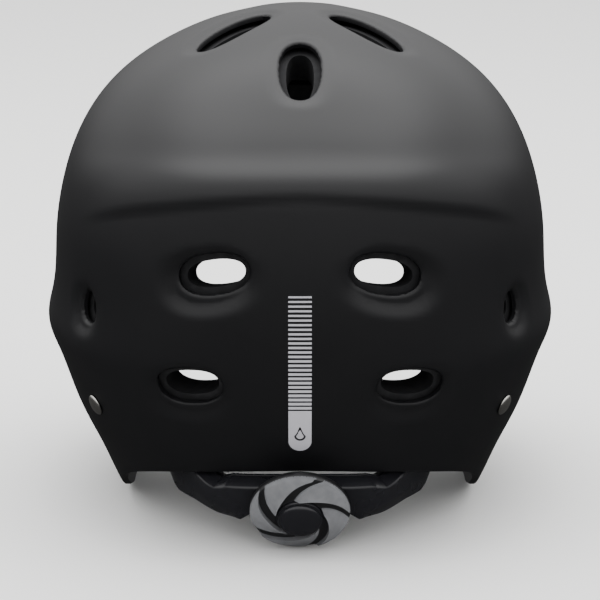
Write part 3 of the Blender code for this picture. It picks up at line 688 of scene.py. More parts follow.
bpy.data.objects.remove(liner_holes)

# --- Comfort pads -----------------------------------------------------------------------
# Seven removable pads: a knitted polyester cover sewn round soft open-cell foam, with a
# bound seam near the edge. Hook tape holds them to the liner, and the pair in the ear
# flaps straight to the shell.
PAD_DEPTH, PAD_WALL = 18.2, 6.0
EAR_PAD_DEPTH, EAR_PAD_WALL, EAR_PAD_TOP, EAR_PAD_FOOT = 4.0, 7.0, 60.0, 12.0
PAD_SHRINK, PAD_SWELL, PAD_VOXEL = 0.9, 1.1, 1.5
SEAM_MARGIN, SEAM_GROOVE = 4.0, 0.7
SEAM_RADIUS, EAR_SEAM_RADIUS = 108.0, 96    # of the head under the pads
THREAD_RADIUS, STITCH_LENGTH, STITCH_PITCH = 0.28, 2.2, 3.0
PADS = {"brow_pad": (146, 214, 70, 83), "rear_pad": (-26, 26, 52, 70),
        "left_side_pad": (-112, -66, 62, 84), "right_side_pad": (66, 112, 62, 84)}


def coordinates(piece):
    flat = np.empty(len(piece.data.vertices) * 3)
    piece.data.vertices.foreach_get("co", flat)
    return flat.reshape(-1, 3)


def move_to(piece, points):
    piece.data.vertices.foreach_set("co", np.ascontiguousarray(points, float).ravel())
    piece.data.update()


def inflate(piece, voxel=PAD_VOXEL, swell=PAD_SWELL):
    """Fill the sewn cover with pressure; no point moves further than the swell allows."""
    remesh = piece.modifiers.new("even_mesh", "REMESH")
    remesh.mode = "VOXEL"
    remesh.voxel_size = voxel * MM
    apply_modifiers(piece)
    start = coordinates(piece)
    cloth = piece.modifiers.new("cloth", "CLOTH")
    cloth.settings.quality = 4
    cloth.settings.mass = 0.2
    cloth.settings.use_pressure = True
    cloth.settings.uniform_pressure_force = 4
    cloth.settings.effector_weights.gravity = 0
    cloth.point_cache.frame_start = 1
    cloth.point_cache.frame_end = 20
    for frame_number in range(1, 21):
        bpy.context.scene.frame_set(frame_number)
    apply_modifiers(piece)
    bpy.context.scene.frame_set(1)
    travel = coordinates(piece) - start
    length = np.linalg.norm(travel, axis=1, keepdims=True)
    share = np.tanh(length / (swell * MM)) * swell * MM / np.maximum(length, 1e-9)
    move_to(piece, start + travel * share)
    subdivide = piece.modifiers.new("smooth_cover", "SUBSURF")
    subdivide.levels = subdivide.render_levels = 1
    apply_modifiers(piece)
    piece.data.shade_smooth()
    return piece


def rounded_loop(low, high, top, bottom, radius, pitch=1.2):
    """Points evenly round a rectangle with these corners rounded off."""
    points = []
    corners = ((high, bottom, 0), (high, top, 1), (low, top, 2), (low, bottom, 3))
    for x, y, quarter in corners:
        cx = x - radius if x == high else x + radius
        cy = y - radius if y == max(top, bottom) else y + radius
        for k in range(9):
            a = math.pi / 2 * (1 - quarter - k / 8)
            points.append((cx + radius * math.cos(a), cy + radius * math.sin(a)))
    loop = np.array(points + points[:1])
    along = np.concatenate([[0], np.cumsum(np.hypot(*np.diff(loop, axis=0).T))])
    count = int(along[-1] / pitch)
    spots = np.linspace(0, along[-1], count, endpoint=False)
    return np.c_[np.interp(spots, along, loop[:, 0]), np.interp(spots, along, loop[:, 1])]


def sew_groove(piece, line, towards):
    """Pull the cover in along a seam line, and give the seam's points on the cloth."""
    surface = BVHTree.FromObject(piece, bpy.context.evaluated_depsgraph_get())
    seam = []
    for point, ray in zip(line, towards):
        hit = surface.ray_cast(Vector(point) - Vector(ray) * 0.02, Vector(ray))[0]
        if hit is not None:
            seam.append(hit)
    tree = KDTree(len(seam))
    for k, point in enumerate(seam):
        tree.insert(point, k)
    tree.balance()
    mean_ray = np.array(towards)
    points = coordinates(piece)
    for vertex in piece.data.vertices:
        _, index, gap = tree.find(vertex.co)
        ray = Vector(mean_ray[min(index, len(mean_ray) - 1)])
        pull = math.exp(-(gap / (1.3 * MM)) ** 2)
        if pull > 0.02 and vertex.normal.dot(ray) < -0.2:
            points[vertex.index] += np.array(ray) * SEAM_GROOVE * MM * pull
    move_to(piece, points)
    return [point + Vector(ray) * (SEAM_GROOVE - 0.15) * MM
            for point, ray in zip(seam, mean_ray)]


def new_tree(name, **inputs):
    """An empty geometry tree with these named inputs; gives the tree and its group nodes."""
    tree = bpy.data.node_groups.new(name, "GeometryNodeTree")
    tree.interface.new_socket("Geometry", in_out="INPUT", socket_type="NodeSocketGeometry")
    for title, kind in inputs.items():
        tree.interface.new_socket(title.replace("_", " "), in_out="INPUT",
                                  socket_type="NodeSocket" + kind)
    tree.interface.new_socket("Geometry", in_out="OUTPUT", socket_type="NodeSocketGeometry")
    return tree, add_node(tree, "NodeGroupInput").outputs, add_node(tree, "NodeGroupOutput")


def close_tree(tree, end, instances, material):
    """Every tree ends the same way: real meshes, which carry their material."""
    real = add_node(tree, "GeometryNodeRealizeInstances", Geometry=instances)
    dressed = add_node(tree, "GeometryNodeSetMaterial", Geometry=real.outputs[0],
                       Material=material)
    tree.links.new(dressed.outputs[0], end.inputs["Geometry"])


def run_tree(piece, tree, **values):
    """Grow the tree on the piece, and leave it as a plain mesh."""
    modifier = piece.modifiers.new(tree.name, "NODES")
    modifier.node_group = tree
    for item in tree.interface.items_tree:
        title = item.name.replace(" ", "_")
        if item.in_out == "INPUT" and title in values:
            modifier[item.identifier] = values[title]
    apply_modifiers(piece)
    piece.data.shade_smooth()
    return piece


def stitch_tree():
    """A lockstitch: one short plump bar of thread after another along each line."""
    tree, given, end = new_tree("lockstitch", Length="Float", Thread="Float", Pitch="Float",
                                Material="Material")
    line = add_node(tree, "GeometryNodeMeshToCurve", Mesh=given["Geometry"])
    spaced = add_node(tree, "GeometryNodeResampleCurve", {"mode": "LENGTH"},
                      Curve=line.outputs[0], Length=given["Pitch"])
    tangent = add_node(tree, "GeometryNodeInputTangent")
    turn = add_node(tree, "FunctionNodeAlignRotationToVector", {"axis": "Z"},
                    Vector=tangent.outputs[0])
    thread = add_node(tree, "GeometryNodeMeshUVSphere", Segments=6, Rings=5, Radius=1.0)
    half = add_node(tree, "ShaderNodeMath", {"operation": "MULTIPLY"}, at0=given["Length"],
                    at1=0.5)
    size = add_node(tree, "ShaderNodeCombineXYZ", X=given["Thread"], Y=given["Thread"],
                    Z=half.outputs[0])
    placed = add_node(tree, "GeometryNodeInstanceOnPoints", Points=spaced.outputs[0],
                      Instance=thread.outputs[0], Rotation=turn.outputs[0],
                      Scale=size.outputs[0])
    close_tree(tree, end, placed.outputs[0], given["Material"])
    return tree


def line_mesh(name, lines, closed):
    """Lines of points, in metres, as one mesh of edges."""
    points, edges = [], []
    for line in lines:
        first = len(points)
        points += [tuple(p) for p in line]
        edges += [(first + k, first + k + 1) for k in range(len(line) - 1)]
        if closed:
            edges.append((len(points) - 1, first))
    mesh = bpy.data.meshes.new(name)
    mesh.from_pydata(points, edges, [])
    piece = bpy.data.objects.new(name, mesh)
    bpy.context.scene.collection.objects.link(piece)
    return piece


def cloth_material():
    """Warp-knitted polyester: charcoal, matt, in fine ribs about 1.1 mm apart, with the
    faint halo of brushed fibre on its edges."""
    material, tree, shader = new_material("brushed_knit_polyester", "#232326", 0.92,
                                          Sheen_Weight=0.35, Sheen_Roughness=0.5,
                                          Specular_IOR_Level=0.25)
    place = add_node(tree, "ShaderNodeTexCoord").outputs["Object"]
    loops = add_node(tree, "ShaderNodeTexVoronoi", Vector=place, Scale=900.0)
    ribs = add_node(tree, "ShaderNodeTexWave", {"bands_direction": "Z"}, Vector=place,
                    Scale=145.0, Distortion=1.2, Detail=1.0)
    ribs.inputs["Detail Scale"].default_value = 4.0
    both = add_node(tree, "ShaderNodeMath", {"operation": "MULTIPLY_ADD"},
                    at0=loops.outputs["Distance"], at1=0.9, at2=ribs.outputs["Fac"])
    add_bump(tree, shader, both.outputs[0], 0.45, 0.0003)
    patchy = add_node(tree, "ShaderNodeTexNoise", Vector=place, Scale=60.0, Detail=4.0)
    # Painted light and shade: the cloth is painted lighter on the raised ribs and darker between
    # them, broken up by random patches of tone.
    mixed = add_node(tree, "ShaderNodeMath", {"operation": "MULTIPLY"},
                     at0=patchy.outputs["Fac"], at1=ribs.outputs["Fac"])
    tone = add_node(tree, "ShaderNodeMix", {"data_type": "RGBA"}, at0=mixed.outputs[0],
                    at6=hex_colour("#1a1a1d"), at7=hex_colour("#39393e"))
    tree.links.new(tone.outputs[2], shader.inputs["Base Color"])
    return material


def thread_material():
    """Bonded nylon thread: a shade lighter than the cloth, with a slight shine."""
    material, tree, shader = new_material("bonded_nylon_thread", "#3c3c41", 0.5)
    place = add_node(tree, "ShaderNodeTexCoord").outputs["Object"]
    twist = add_node(tree, "ShaderNodeTexNoise", Vector=place, Scale=2600.0)
    tone = add_node(tree, "ShaderNodeMix", {"data_type": "RGBA"}, at0=twist.outputs["Fac"],
                    at6=hex_colour("#2b2b2f"), at7=hex_colour("#55555b"))
    tree.links.new(tone.outputs[2], shader.inputs["Base Color"])
    return material


knit_cloth = cloth_material()
nylon_thread = thread_material()
lockstitch = stitch_tree()
pad_seams = []


def make_pad(name, azimuths, top, bottom, depth, wall, angle_loop):
    """One pad: its swollen cover, and the seam sewn round it on the wearer's side."""
    start = curved_slab(azimuths, top, bottom, 28, depth + PAD_SHRINK, wall - 2 * PAD_SHRINK, 1.4)
    pad = inflate(mesh_object(name + "_cover", start))
    azimuth, polar = angle_loop.T
    inside = inset_point(azimuth, polar, depth + wall) * MM
    outward = surface_normal(azimuth, polar)
    pad_seams.append(sew_groove(pad, inside, outward))
    fit(pad, knit_cloth, "helmet", "pad_cloth", name)


def sew(name, seams, closed, body, slot):
    """Lockstitch along these seams, as one piece of thread on a body."""
    piece = run_tree(line_mesh(name, seams, closed), lockstitch, Length=STITCH_LENGTH * MM,
                     Thread=THREAD_RADIUS * MM, Pitch=STITCH_PITCH * MM, Material=nylon_thread)
    fit(piece, nylon_thread, body, slot)


def degrees_inset(azimuth_low, azimuth_high, polar_low, polar_high, margin):
    """A rounded seam line, margin mm inside a patch given in degrees."""
    middle = math.radians((polar_low + polar_high) / 2)
    stretch = SEAM_RADIUS * math.sin(middle)
    loop = rounded_loop(math.radians(azimuth_low) * stretch + margin,
                        math.radians(azimuth_high) * stretch - margin,
                        math.radians(polar_low) * SEAM_RADIUS + margin,
                        math.radians(polar_high) * SEAM_RADIUS - margin, 5.0)
    return np.c_[loop[:, 0] / stretch, loop[:, 1] / SEAM_RADIUS]


for name, (low, high, top, bottom) in PADS.items():
    edge = 0.8
    azimuths = np.radians(np.linspace(low + edge, high - edge, 70))
    make_pad(name, azimuths, math.radians(top + 0.5), math.radians(bottom - 0.5), PAD_DEPTH,
             PAD_WALL, degrees_inset(low, high, top, bottom, SEAM_MARGIN))

round_pad = np.arange(96) / 96 * math.tau
make_pad("crown_pad", round_pad - math.pi, 0.0, math.radians(12.4), PAD_DEPTH, PAD_WALL,
         np.c_[round_pad, np.full(96, math.radians(10.3))])

for side, sign in (("left", -1), ("right", 1)):
    azimuths = sign * np.radians(np.linspace(72.8, 109.2, 60))
    top = polar_at_height(azimuths, lambda a: 0 * a + EAR_PAD_TOP - 0.8)
    bottom = polar_at_height(azimuths, lambda a: 0 * a + EAR_PAD_FOOT + 0.8)
    loop = rounded_loop(math.radians(72) * EAR_SEAM_RADIUS + SEAM_MARGIN,
                        math.radians(110) * EAR_SEAM_RADIUS - SEAM_MARGIN,
                        EAR_PAD_FOOT + SEAM_MARGIN, EAR_PAD_TOP - SEAM_MARGIN, 7.0)
    around = sign * loop[:, 0] / EAR_SEAM_RADIUS
    down = np.array([polar_at_height(np.array([a]), lambda _, h=h: np.array([h]))[0]
                     for a, h in zip(around, loop[:, 1])])
    make_pad(side + "_ear_pad", azimuths, top, bottom, EAR_PAD_DEPTH, EAR_PAD_WALL,
             np.c_[around, down])

sew("pad_stitching", pad_seams, True, "helmet", "pad_cloth")

# --- Strap rivets -----------------------------------------------------------------------
# Four semi-tubular steel rivets, nickel plated and tumbled to a satin finish. Each has a
# low domed head on the shell and clenches a black nylon washer over the web inside.
HEAD_RADIUS, HEAD_HEIGHT, SHANK_RADIUS = 4.5, 1.8, 2.0
WEB_THICKNESS, WEB_WIDTH, WEB_GAP = 1.4, 15.0, 1.4
WASHER_TOP = -(SHELL_WALL + WEB_GAP + WEB_THICKNESS + 0.3)


def turned(profile, segments=48):
    """A turned body about Z from (radius, height) points; closed where r = 0."""
    body = bmesh.new()
    rings = []
    for radius, height in profile:
        if radius == 0:
            rings.append([body.verts.new((0, 0, height))] * segments)
            continue
        rings.append([body.verts.new((radius * math.cos(a), radius * math.sin(a), height))
                      for a in np.arange(segments) / segments * math.tau])
    if profile[0][0] != 0:
        rings.append(rings[0])
    for first, second in zip(rings, rings[1:]):
        for k in range(segments):
            n = (k + 1) % segments
            body.faces.new(list(dict.fromkeys((first[k], first[n], second[n], second[k]))))
    bmesh.ops.recalc_face_normals(body, faces=body.faces)
    return body


def scatter_tree():
    """One fastener at each point, standing along the point's outward direction."""
    tree, given, end = new_tree("fasteners", Fastener="Object", Material="Material")
    out = add_node(tree, "GeometryNodeInputNamedAttribute", {"data_type": "FLOAT_VECTOR"},
                   Name="out")
    turn = add_node(tree, "FunctionNodeAlignRotationToVector", {"axis": "Z"},
                    Vector=out.outputs[0])
    source = add_node(tree, "GeometryNodeObjectInfo", Object=given["Fastener"])
    placed = add_node(tree, "GeometryNodeInstanceOnPoints", Points=given["Geometry"],
                      Instance=source.outputs["Geometry"], Rotation=turn.outputs[0])
    close_tree(tree, end, placed.outputs[0], given["Material"])
    return tree


def scatter(name, places, source, material, tree):
    """The source's copies at these frames, in millimetres, as one plain mesh."""
    mesh = bpy.data.meshes.new(name)
    mesh.from_pydata([place.translation * MM for place in places], [], [])
    out = mesh.attributes.new("out", "FLOAT_VECTOR", "POINT")
    for k, place in enumerate(places):
        out.data[k].vector = place.to_3x3().col[2]
    piece = bpy.data.objects.new(name, mesh)
    bpy.context.scene.collection.objects.link(piece)
    run_tree(piece, tree, Fastener=source, Material=material)
    bpy.data.objects.remove(source)
    shade(piece)
    return piece


def nickel_material():
    """Satin nickel plate over steel: warm white metal, tumbled so that it only glows."""
    material, tree, shader = new_material("tumbled_nickel_plate", "#c9c7c1", 0.32, Metallic=1.0)
    place = add_node(tree, "ShaderNodeTexCoord").outputs["Object"]
    tumble = add_node(tree, "ShaderNodeTexNoise", Vector=place, Scale=900.0, Detail=4.0)
    rough = add_node(tree, "ShaderNodeMapRange", Value=tumble.outputs["Fac"], To_Min=0.26,
                     To_Max=0.42)
    tone = add_node(tree, "ShaderNodeMix", {"data_type": "RGBA"}, at0=tumble.outputs["Fac"],
                    at6=hex_colour("#bab8b2"), at7=hex_colour("#dbd9d4"))
    add_bump(tree, shader, tumble.outputs["Fac"], 0.1, 0.0001)
    tree.links.new(tone.outputs[2], shader.inputs["Base Color"])
    tree.links.new(rough.outputs[0], shader.inputs["Roughness"])
    return material


def nylon_material(name, colour, rough, grain):
    """Glass-filled nylon from a spark-eroded mould: black, satin, with a fine crinkle."""
    material, tree, shader = new_material(name, colour, rough)
    place = add_node(tree, "ShaderNodeTexCoord").outputs["Object"]
    crinkle = add_node(tree, "ShaderNodeTexNoise", Vector=place, Scale=grain, Detail=3.0)
    flow = add_node(tree, "ShaderNodeTexNoise", Vector=place, Scale=70.0, Detail=2.0)
    gloss = add_node(tree, "ShaderNodeMapRange", Value=flow.outputs["Fac"],
                     To_Min=rough - 0.05, To_Max=rough + 0.07)
    add_bump(tree, shader, crinkle.outputs["Fac"], 0.18, 0.0001)
    dark = [channel * 0.8 for channel in hex_colour(colour)[:3]]
    tone = add_node(tree, "ShaderNodeMix", {"data_type": "RGBA"}, at0=flow.outputs["Fac"],
                    at6=(*dark, 1.0), at7=hex_colour(colour))
    tree.links.new(tone.outputs[2], shader.inputs["Base Color"])
    tree.links.new(gloss.outputs[0], shader.inputs["Roughness"])
    return material


satin_nickel = nickel_material()
black_nylon = nylon_material("moulded_black_nylon", "#1b1b1d", 0.36, 1500.0)
fasteners = scatter_tree()
rivet_places = [surface_frame(sign * azimuth, polar) for azimuth, polar in (REAR_RIVET, FRONT_RIVET)
                for sign in (-1, 1)]
head = [(0, HEAD_HEIGHT + 0.3)]
for a in np.linspace(80, 8, 12):
    head.append((HEAD_RADIUS * math.cos(math.radians(a)),
                 0.5 + (HEAD_HEIGHT - 0.2) * math.sin(math.radians(a))))
head += [(HEAD_RADIUS, 0.55), (HEAD_RADIUS - 0.25, 0.3), (SHANK_RADIUS, 0.3),
         (SHANK_RADIUS, WASHER_TOP - 1.4), (2.9, WASHER_TOP - 1.5), (3.1, WASHER_TOP - 1.9),
         (2.2, WASHER_TOP - 2.4), (1.5, WASHER_TOP - 2.3), (1.2, WASHER_TOP - 0.9),
         (0, WASHER_TOP - 0.9)]
rivets = scatter("strap_rivets", rivet_places, mesh_object("one_rivet", turned(head, 40)),
                 satin_nickel, fasteners)
fit(rivets, satin_nickel, "helmet", "rivet_metal", "rear_rivet_left", "rear_rivet_right",
    "front_rivet_left", "front_rivet_right")
washer = [(SHANK_RADIUS + 0.3, WASHER_TOP), (4.7, WASHER_TOP), (5.0, WASHER_TOP - 0.3),
          (5.0, WASHER_TOP - 0.9), (4.7, WASHER_TOP - 1.2), (SHANK_RADIUS + 0.3, WASHER_TOP - 1.2)]
washers = scatter("rivet_washers", rivet_places, mesh_object("one_washer", turned(washer, 40)),
                  black_nylon, fasteners)
fit(washers, black_nylon, "helmet", "nylon", "rear_washer_left", "rear_washer_right",
    "front_washer_left", "front_washer_right")

# --- Side webs and dividers -------------------------------------------------------------
# On each side two flat polyester webs run from the rivets down inside the shell. They
# meet in a moulded divider under the ear, where the chin web starts.
DIVIDER = Vector((68.5, 58.3, 13.0))
DIVIDER_SIZE = (4.4, 20.0, 22.0)
REAR_WEB = [(79, -50, 45), (74, -34, 38), (70.3, -10, 28), (67.4, 15, 20), (67.6, 34, 15.5),
            (68.5, 46.7, 13.5)]
FRONT_WEB = [(83, 55, 44), (75, 58, 33), (69.0, 59.5, 27.5)]


def catmull(points, steps):
    """A smooth path through the points, with this many steps to each stretch."""
    points = [Vector(p) for p in points]
    padded = [2 * points[0] - points[1]] + points + [2 * points[-1] - points[-2]]
    path = []
    for k in range(len(points) - 1):
        p0, p1, p2, p3 = padded[k:k + 4]
        for s in range(steps):
            t = s / steps
            path.append(0.5 * (2 * p1 + (p2 - p0) * t + (2 * p0 - 5 * p1 + 4 * p2 - p3) * t * t
                               + (3 * p1 - p0 - 3 * p2 + p3) * t ** 3))
    path.append(points[-1])
    return path


def sweep(path, outs, section):
    """Carry a closed (out, up) section along a path, with a flat map of it in metres."""
    body = bmesh.new()
    chart = body.loops.layers.uv.new("cloth")
    rings, along, around = [], [0.0], []
    for k, point in enumerate(path):
        ahead = path[min(k + 1, len(path) - 1)] - path[max(k - 1, 0)]
        ahead.normalize()
        out = outs[k] - ahead * outs[k].dot(ahead)
        out.normalize()
        up = out.cross(ahead)
        shape = section(point) if callable(section) else section
        rings.append([body.verts.new(point + out * a + up * b) for a, b in shape])
        around.append(np.cumsum([0] + [math.hypot(shape[j][0] - shape[j - 1][0],
                                                  shape[j][1] - shape[j - 1][1])
                                       for j in range(1, len(shape))] + [0.1]))
        if k:
            along.append(along[-1] + (point - path[k - 1]).length)
    count = len(rings[0])
    for i, (first, second) in enumerate(zip(rings, rings[1:])):
        for k in range(count):
            n = (k + 1) % count
            face = body.faces.new((first[k], first[n], second[n], second[k]))
            spots = ((around[i][k], along[i]), (around[i][k + 1], along[i]),
                     (around[i + 1][k + 1], along[i + 1]), (around[i + 1][k], along[i + 1]))
            for loop, (u, v) in zip(face.loops, spots):
                loop[chart].uv = (u * MM, v * MM)
    body.faces.new(rings[0])
    body.faces.new(list(reversed(rings[-1])))
    bmesh.ops.recalc_face_normals(body, faces=body.faces)
    return body


def web_section(thickness, width, across=14):
    """The web's section: flat faces, thinning to a woven edge."""
    half = [(math.sin(math.pi * (k / across - 0.5)), k) for k in range(across + 1)]
    top = [(thickness / 2 * (1 - abs(s) ** 6) ** 0.5, s * width / 2) for s, _ in half]
    return top + [(-a, b) for a, b in reversed(top[1:-1])]


def webbing_material():
    """Woven polyester webbing: black, in flat plain weave with 1.3 mm ribs across it."""
    material, tree, shader = new_material("woven_polyester_web", "#1a1a1c", 0.78,
                                          Sheen_Weight=0.2, Specular_IOR_Level=0.35)
    flat = add_node(tree, "ShaderNodeUVMap", {"uv_map": "cloth"}).outputs[0]
    warp = add_node(tree, "ShaderNodeTexWave", {"bands_direction": "X", "wave_profile": "SIN"},
                    Vector=flat, Scale=400.0, Distortion=0.3)
    weft = add_node(tree, "ShaderNodeTexWave", {"bands_direction": "Y", "wave_profile": "SIN"},
                    Vector=flat, Scale=240.0, Distortion=0.3)
    weave = add_node(tree, "ShaderNodeMath", {"operation": "MULTIPLY"},
                     at0=warp.outputs["Fac"], at1=weft.outputs["Fac"])
    fray = add_node(tree, "ShaderNodeTexNoise", Vector=flat, Scale=900.0, Detail=3.0)
    mixed = add_node(tree, "ShaderNodeMath", {"operation": "MULTIPLY_ADD"},
                     at0=fray.outputs["Fac"], at1=0.3, at2=weave.outputs[0])
    # Painted light and shade: the weave height that raises the bump also paints the raised crossings
    # lighter and the hollows darker; the fray noise adds random tone.
    tone = add_node(tree, "ShaderNodeMix", {"data_type": "RGBA"}, at0=mixed.outputs[0],
                    at6=hex_colour("#0f0f11"), at7=hex_colour("#2c2c30"))
    add_bump(tree, shader, mixed.outputs[0], 0.6, 0.0003)
    tree.links.new(tone.outputs[2], shader.inputs["Base Color"])
    return material


def web_from_rivet(spot, route, sign):
    """A web's path and facing, from just past its rivet along the route to the divider."""
    place = surface_frame(*spot)
    out = place.to_3x3().col[2]
    seat = place.translation - out * (SHELL_WALL + WEB_GAP + WEB_THICKNESS / 2)
    along = Vector(route[0]) - seat
    along = (along - out * along.dot(out)).normalized()
    points = [seat - along * 7, seat + along * 9] + [Vector(p) for p in route]
    path = catmull([Vector((sign * p.x, p.y, p.z)) for p in points], 10)
    seat_out = Vector((sign * out.x, out.y, out.z))
    outs = []
    for k, point in enumerate(path):
        level = Vector((point.x, (point.y - SHELL_CENTRE.y) * 0.4, 0)).normalized()
        outs.append(seat_out.lerp(level, min(max((k - 15) / 25, 0), 1)))
    return path, outs


def edge_lines(path, outs, inset, lift):
    """Two seam lines, one along each edge of a web, a little proud of its face."""
    lines = []
    for side in (-1, 1):
        line = []
        for k, point in enumerate(path):
            ahead = (path[min(k + 1, len(path) - 1)] - path[max(k - 1, 0)]).normalized()
            out = (outs[k] - ahead * outs[k].dot(ahead)).normalized()
            up = out.cross(ahead)
            line.append((point + up * side * inset + out * lift) * MM)
        lines.append(line)
    return lines


woven_web = webbing_material()
strap_holes = rivet_cutter()
for end, spot, route in (("rear", REAR_RIVET, REAR_WEB), ("front", FRONT_RIVET, FRONT_WEB)):
    for side, sign in (("left", -1), ("right", 1)):
        path, outs = web_from_rivet(spot, route, sign)
        web = mesh_object(f"{end}_{side}_side_web",
                          sweep(path, outs, web_section(WEB_THICKNESS, WEB_WIDTH)))
        boolean(web, strap_holes)
        shade(web, 50)
        fit(web, woven_web, None, "webbing", f"{end}_web_{side}")
        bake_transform(web)
bpy.data.objects.remove(strap_holes)


def soft_box(name, low, high, place, radius, steps=3):
    """A moulded block in its own frame with every edge rounded over."""
    block = bmesh.new()
    low, high = Vector(low), Vector(high)
    middle = Matrix.Translation((low + high) / 2) @ Matrix.Diagonal((*(high - low), 1))
    bmesh.ops.create_cube(block, size=1, matrix=middle)
    bmesh.ops.bevel(block, geom=block.edges, offset=radius, segments=steps, profile=0.5,
                    affect="EDGES")
    bmesh.ops.transform(block, matrix=place, verts=block.verts)
    return mesh_object(name, block)


def cut_away(piece, *tools):
    for tool in tools:
        boolean(piece, tool)
        bpy.data.objects.remove(tool)


dx, dy, dz = (size / 2 for size in DIVIDER_SIZE)
for side, sign in (("left", -1), ("right", 1)):
    place = Matrix.Translation((sign * DIVIDER.x, DIVIDER.y, DIVIDER.z))
    divider = soft_box(f"{side}_divider", (-dx, -dy, -dz), (dx, dy, dz), place, 1.6)
    for low, high in (((-1.1, -dy - 1, -8.2), (1.1, -dy + 3.4, 8.2)),
                      ((-1.1, dy - 3.4, -8.2), (1.1, dy + 1, 8.2)),
                      ((-1.1, -8.0, dz - 3.2), (1.1, 8.0, dz + 1)),
                      ((sign * 1.7, -6.4, -7.6), (sign * 4, 6.4, 7.6))):
        ends = [sorted(pair) for pair in zip(low, high)]
        cut_away(divider, soft_box("slot", [e[0] for e in ends], [e[1] for e in ends], place,
                                   0.35, 2))
    shade(divider, 40)
    fit(divider, black_nylon, "chin_strap", "nylon", f"divider_{side}")

# --- Chin strap -------------------------------------------------------------------------
# A chin web runs forward from each divider. The wearer's left one ends in the buckle's
# tongue, with its free end held by a moulded keeper. The right one carries a soft chin
# pad and the buckle's socket. Off the head, the strap lies slack under the face opening.
BUCKLE = Vector((0.0, 112.0, 6.5))
LEFT_WEB = [(-68.5, 69.5, 12.5), (-64, 83, 10.5), (-55, 99, 7.6), (-37.5, 112, 6.5),
            (-27.2, 113.9, 6.5)]
RIGHT_WEB = [(68.5, 69.5, 12.5), (65, 82, 10.5), (57, 95, 7.6), (44, 107.8, 6.5),
             (34.6, 109.6, 6.5)]
WEB_STEPS = 20


def cushion_section(middle, thick, wide):
    """A flat-sided oval for a swept cushion, by its half sizes out of and along the face."""
    section = []
    for a in np.arange(28) / 28 * math.tau:
        out = math.copysign(abs(math.sin(a)) ** 0.6, math.sin(a))
        up = math.copysign(abs(math.cos(a)) ** 0.5, math.cos(a))
        section.append((middle[0] + thick * out, middle[1] + wide * up))
    return section


def chin_web(points, sign):
    path = catmull(points, WEB_STEPS)
    first = Vector((sign, 0.35, 0.1))
    last = len(path) - 1
    outs = [first.lerp(Vector((0, 0, 1)), float(ease(1.8 * k / last))) for k in range(last + 1)]
    return path, outs


left_path, left_outs = chin_web(LEFT_WEB, -1)
right_path, right_outs = chin_web(RIGHT_WEB, 1)
left_web = mesh_object("left_chin_web",
                       sweep(left_path, left_outs, web_section(WEB_THICKNESS, WEB_WIDTH)))
shade(left_web, 50)
fit(left_web, woven_web, None, "webbing", "chin_web_left")
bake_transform(left_web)
right_web = mesh_object("right_chin_web",
                        sweep(right_path, right_outs, web_section(WEB_THICKNESS, WEB_WIDTH)))
shade(right_web, 50)
fit(right_web, woven_web, "chin_strap", "webbing", "chin_web_right")

pad_start, pad_end = 7 * WEB_STEPS // 5, 16 * WEB_STEPS // 5
pad_path = right_path[pad_start + 2:pad_end - 1:2]
pad_outs = right_outs[pad_start + 2:pad_end - 1:2]
pad_low = WEB_THICKNESS / 2 + 0.3
pad_form = cushion_section((pad_low + 2.25, 0), 1.7, 11.0)
chin_pad = inflate(mesh_object("chin_pad_cover", sweep(pad_path, pad_outs, pad_form)), 1.2, 0.6)
chin_edges = edge_lines(pad_path[2:-2], pad_outs[2:-2], 8.2, 0.0)
chin_rays = [-Vector(o).normalized() for o in pad_outs[2:-2]]
chin_seam = sew_groove(chin_pad, chin_edges[0] + chin_edges[1][::-1],
                       chin_rays + chin_rays[::-1])
fit(chin_pad, knit_cloth, "chin_strap", "pad_cloth", "chin_pad")

strap_lines = []
for face in (-1, 1):
    strap_lines += edge_lines(right_path[2:16], right_outs[2:16], 5.6,
                              face * (WEB_THICKNESS / 2 + 0.05))
sew("strap_stitching", strap_lines, False, "chin_strap", "webbing")
sew("chin_pad_stitching", [chin_seam], True, "chin_strap", "pad_cloth")

keeper_at = 9 * WEB_STEPS // 5
ahead = (left_path[keeper_at + 2] - left_path[keeper_at - 2]).normalized()
out = (left_outs[keeper_at] - ahead * left_outs[keeper_at].dot(ahead)).normalized()
keeper_turn = Matrix((ahead, out.cross(ahead), out)).transposed().to_4x4()
keeper_place = Matrix.Translation(left_path[keeper_at]) @ keeper_turn
keeper = soft_box("web_keeper", (-3, -WEB_WIDTH / 2 - 2.2, -2.9), (3, WEB_WIDTH / 2 + 2.2, 2.9),
                  keeper_place, 0.8)
cut_away(keeper, soft_box("keeper_slot", (-6, -WEB_WIDTH / 2 - 1, -1.8),
                          (6, WEB_WIDTH / 2 + 1, 1.8), keeper_place, 0.4, 2))
shade(keeper, 40)
fit(keeper, black_nylon, "chin_strap", "nylon", "strap_keeper")


def extruded(outline, low, high):
    """A prism of an (x, y) outline between two heights."""
    body = bmesh.new()
    bottom = [body.verts.new((x, y, low)) for x, y in outline]
    top = [body.verts.new((x, y, high)) for x, y in outline]
    for k in range(len(outline)):
        n = (k + 1) % len(outline)
        body.faces.new((bottom[k], bottom[n], top[n], top[k]))
    body.faces.new(bottom)
    body.faces.new(top)
    bmesh.ops.recalc_face_normals(body, faces=body.faces)
    return body


def mirrored(half):
    """An outline completed by its own mirror image across y = 0."""
    return half + [(x, -y) for x, y in reversed(half)]


def rounded_prism(name, outline, low, high, place, radius, steps=3):
    """A moulded prism whose edges are all eased by a small radius."""
    body = extruded(outline, low, high)
    bmesh.ops.transform(body, matrix=place, verts=body.verts)
    piece = mesh_object(name, body)
    bevel = piece.modifiers.new("eased_edges", "BEVEL")
    bevel.width = radius * MM
    bevel.segments = steps
    bevel.limit_method = "ANGLE"
    bevel.angle_limit = math.radians(20)
    apply_modifiers(piece)
    return piece


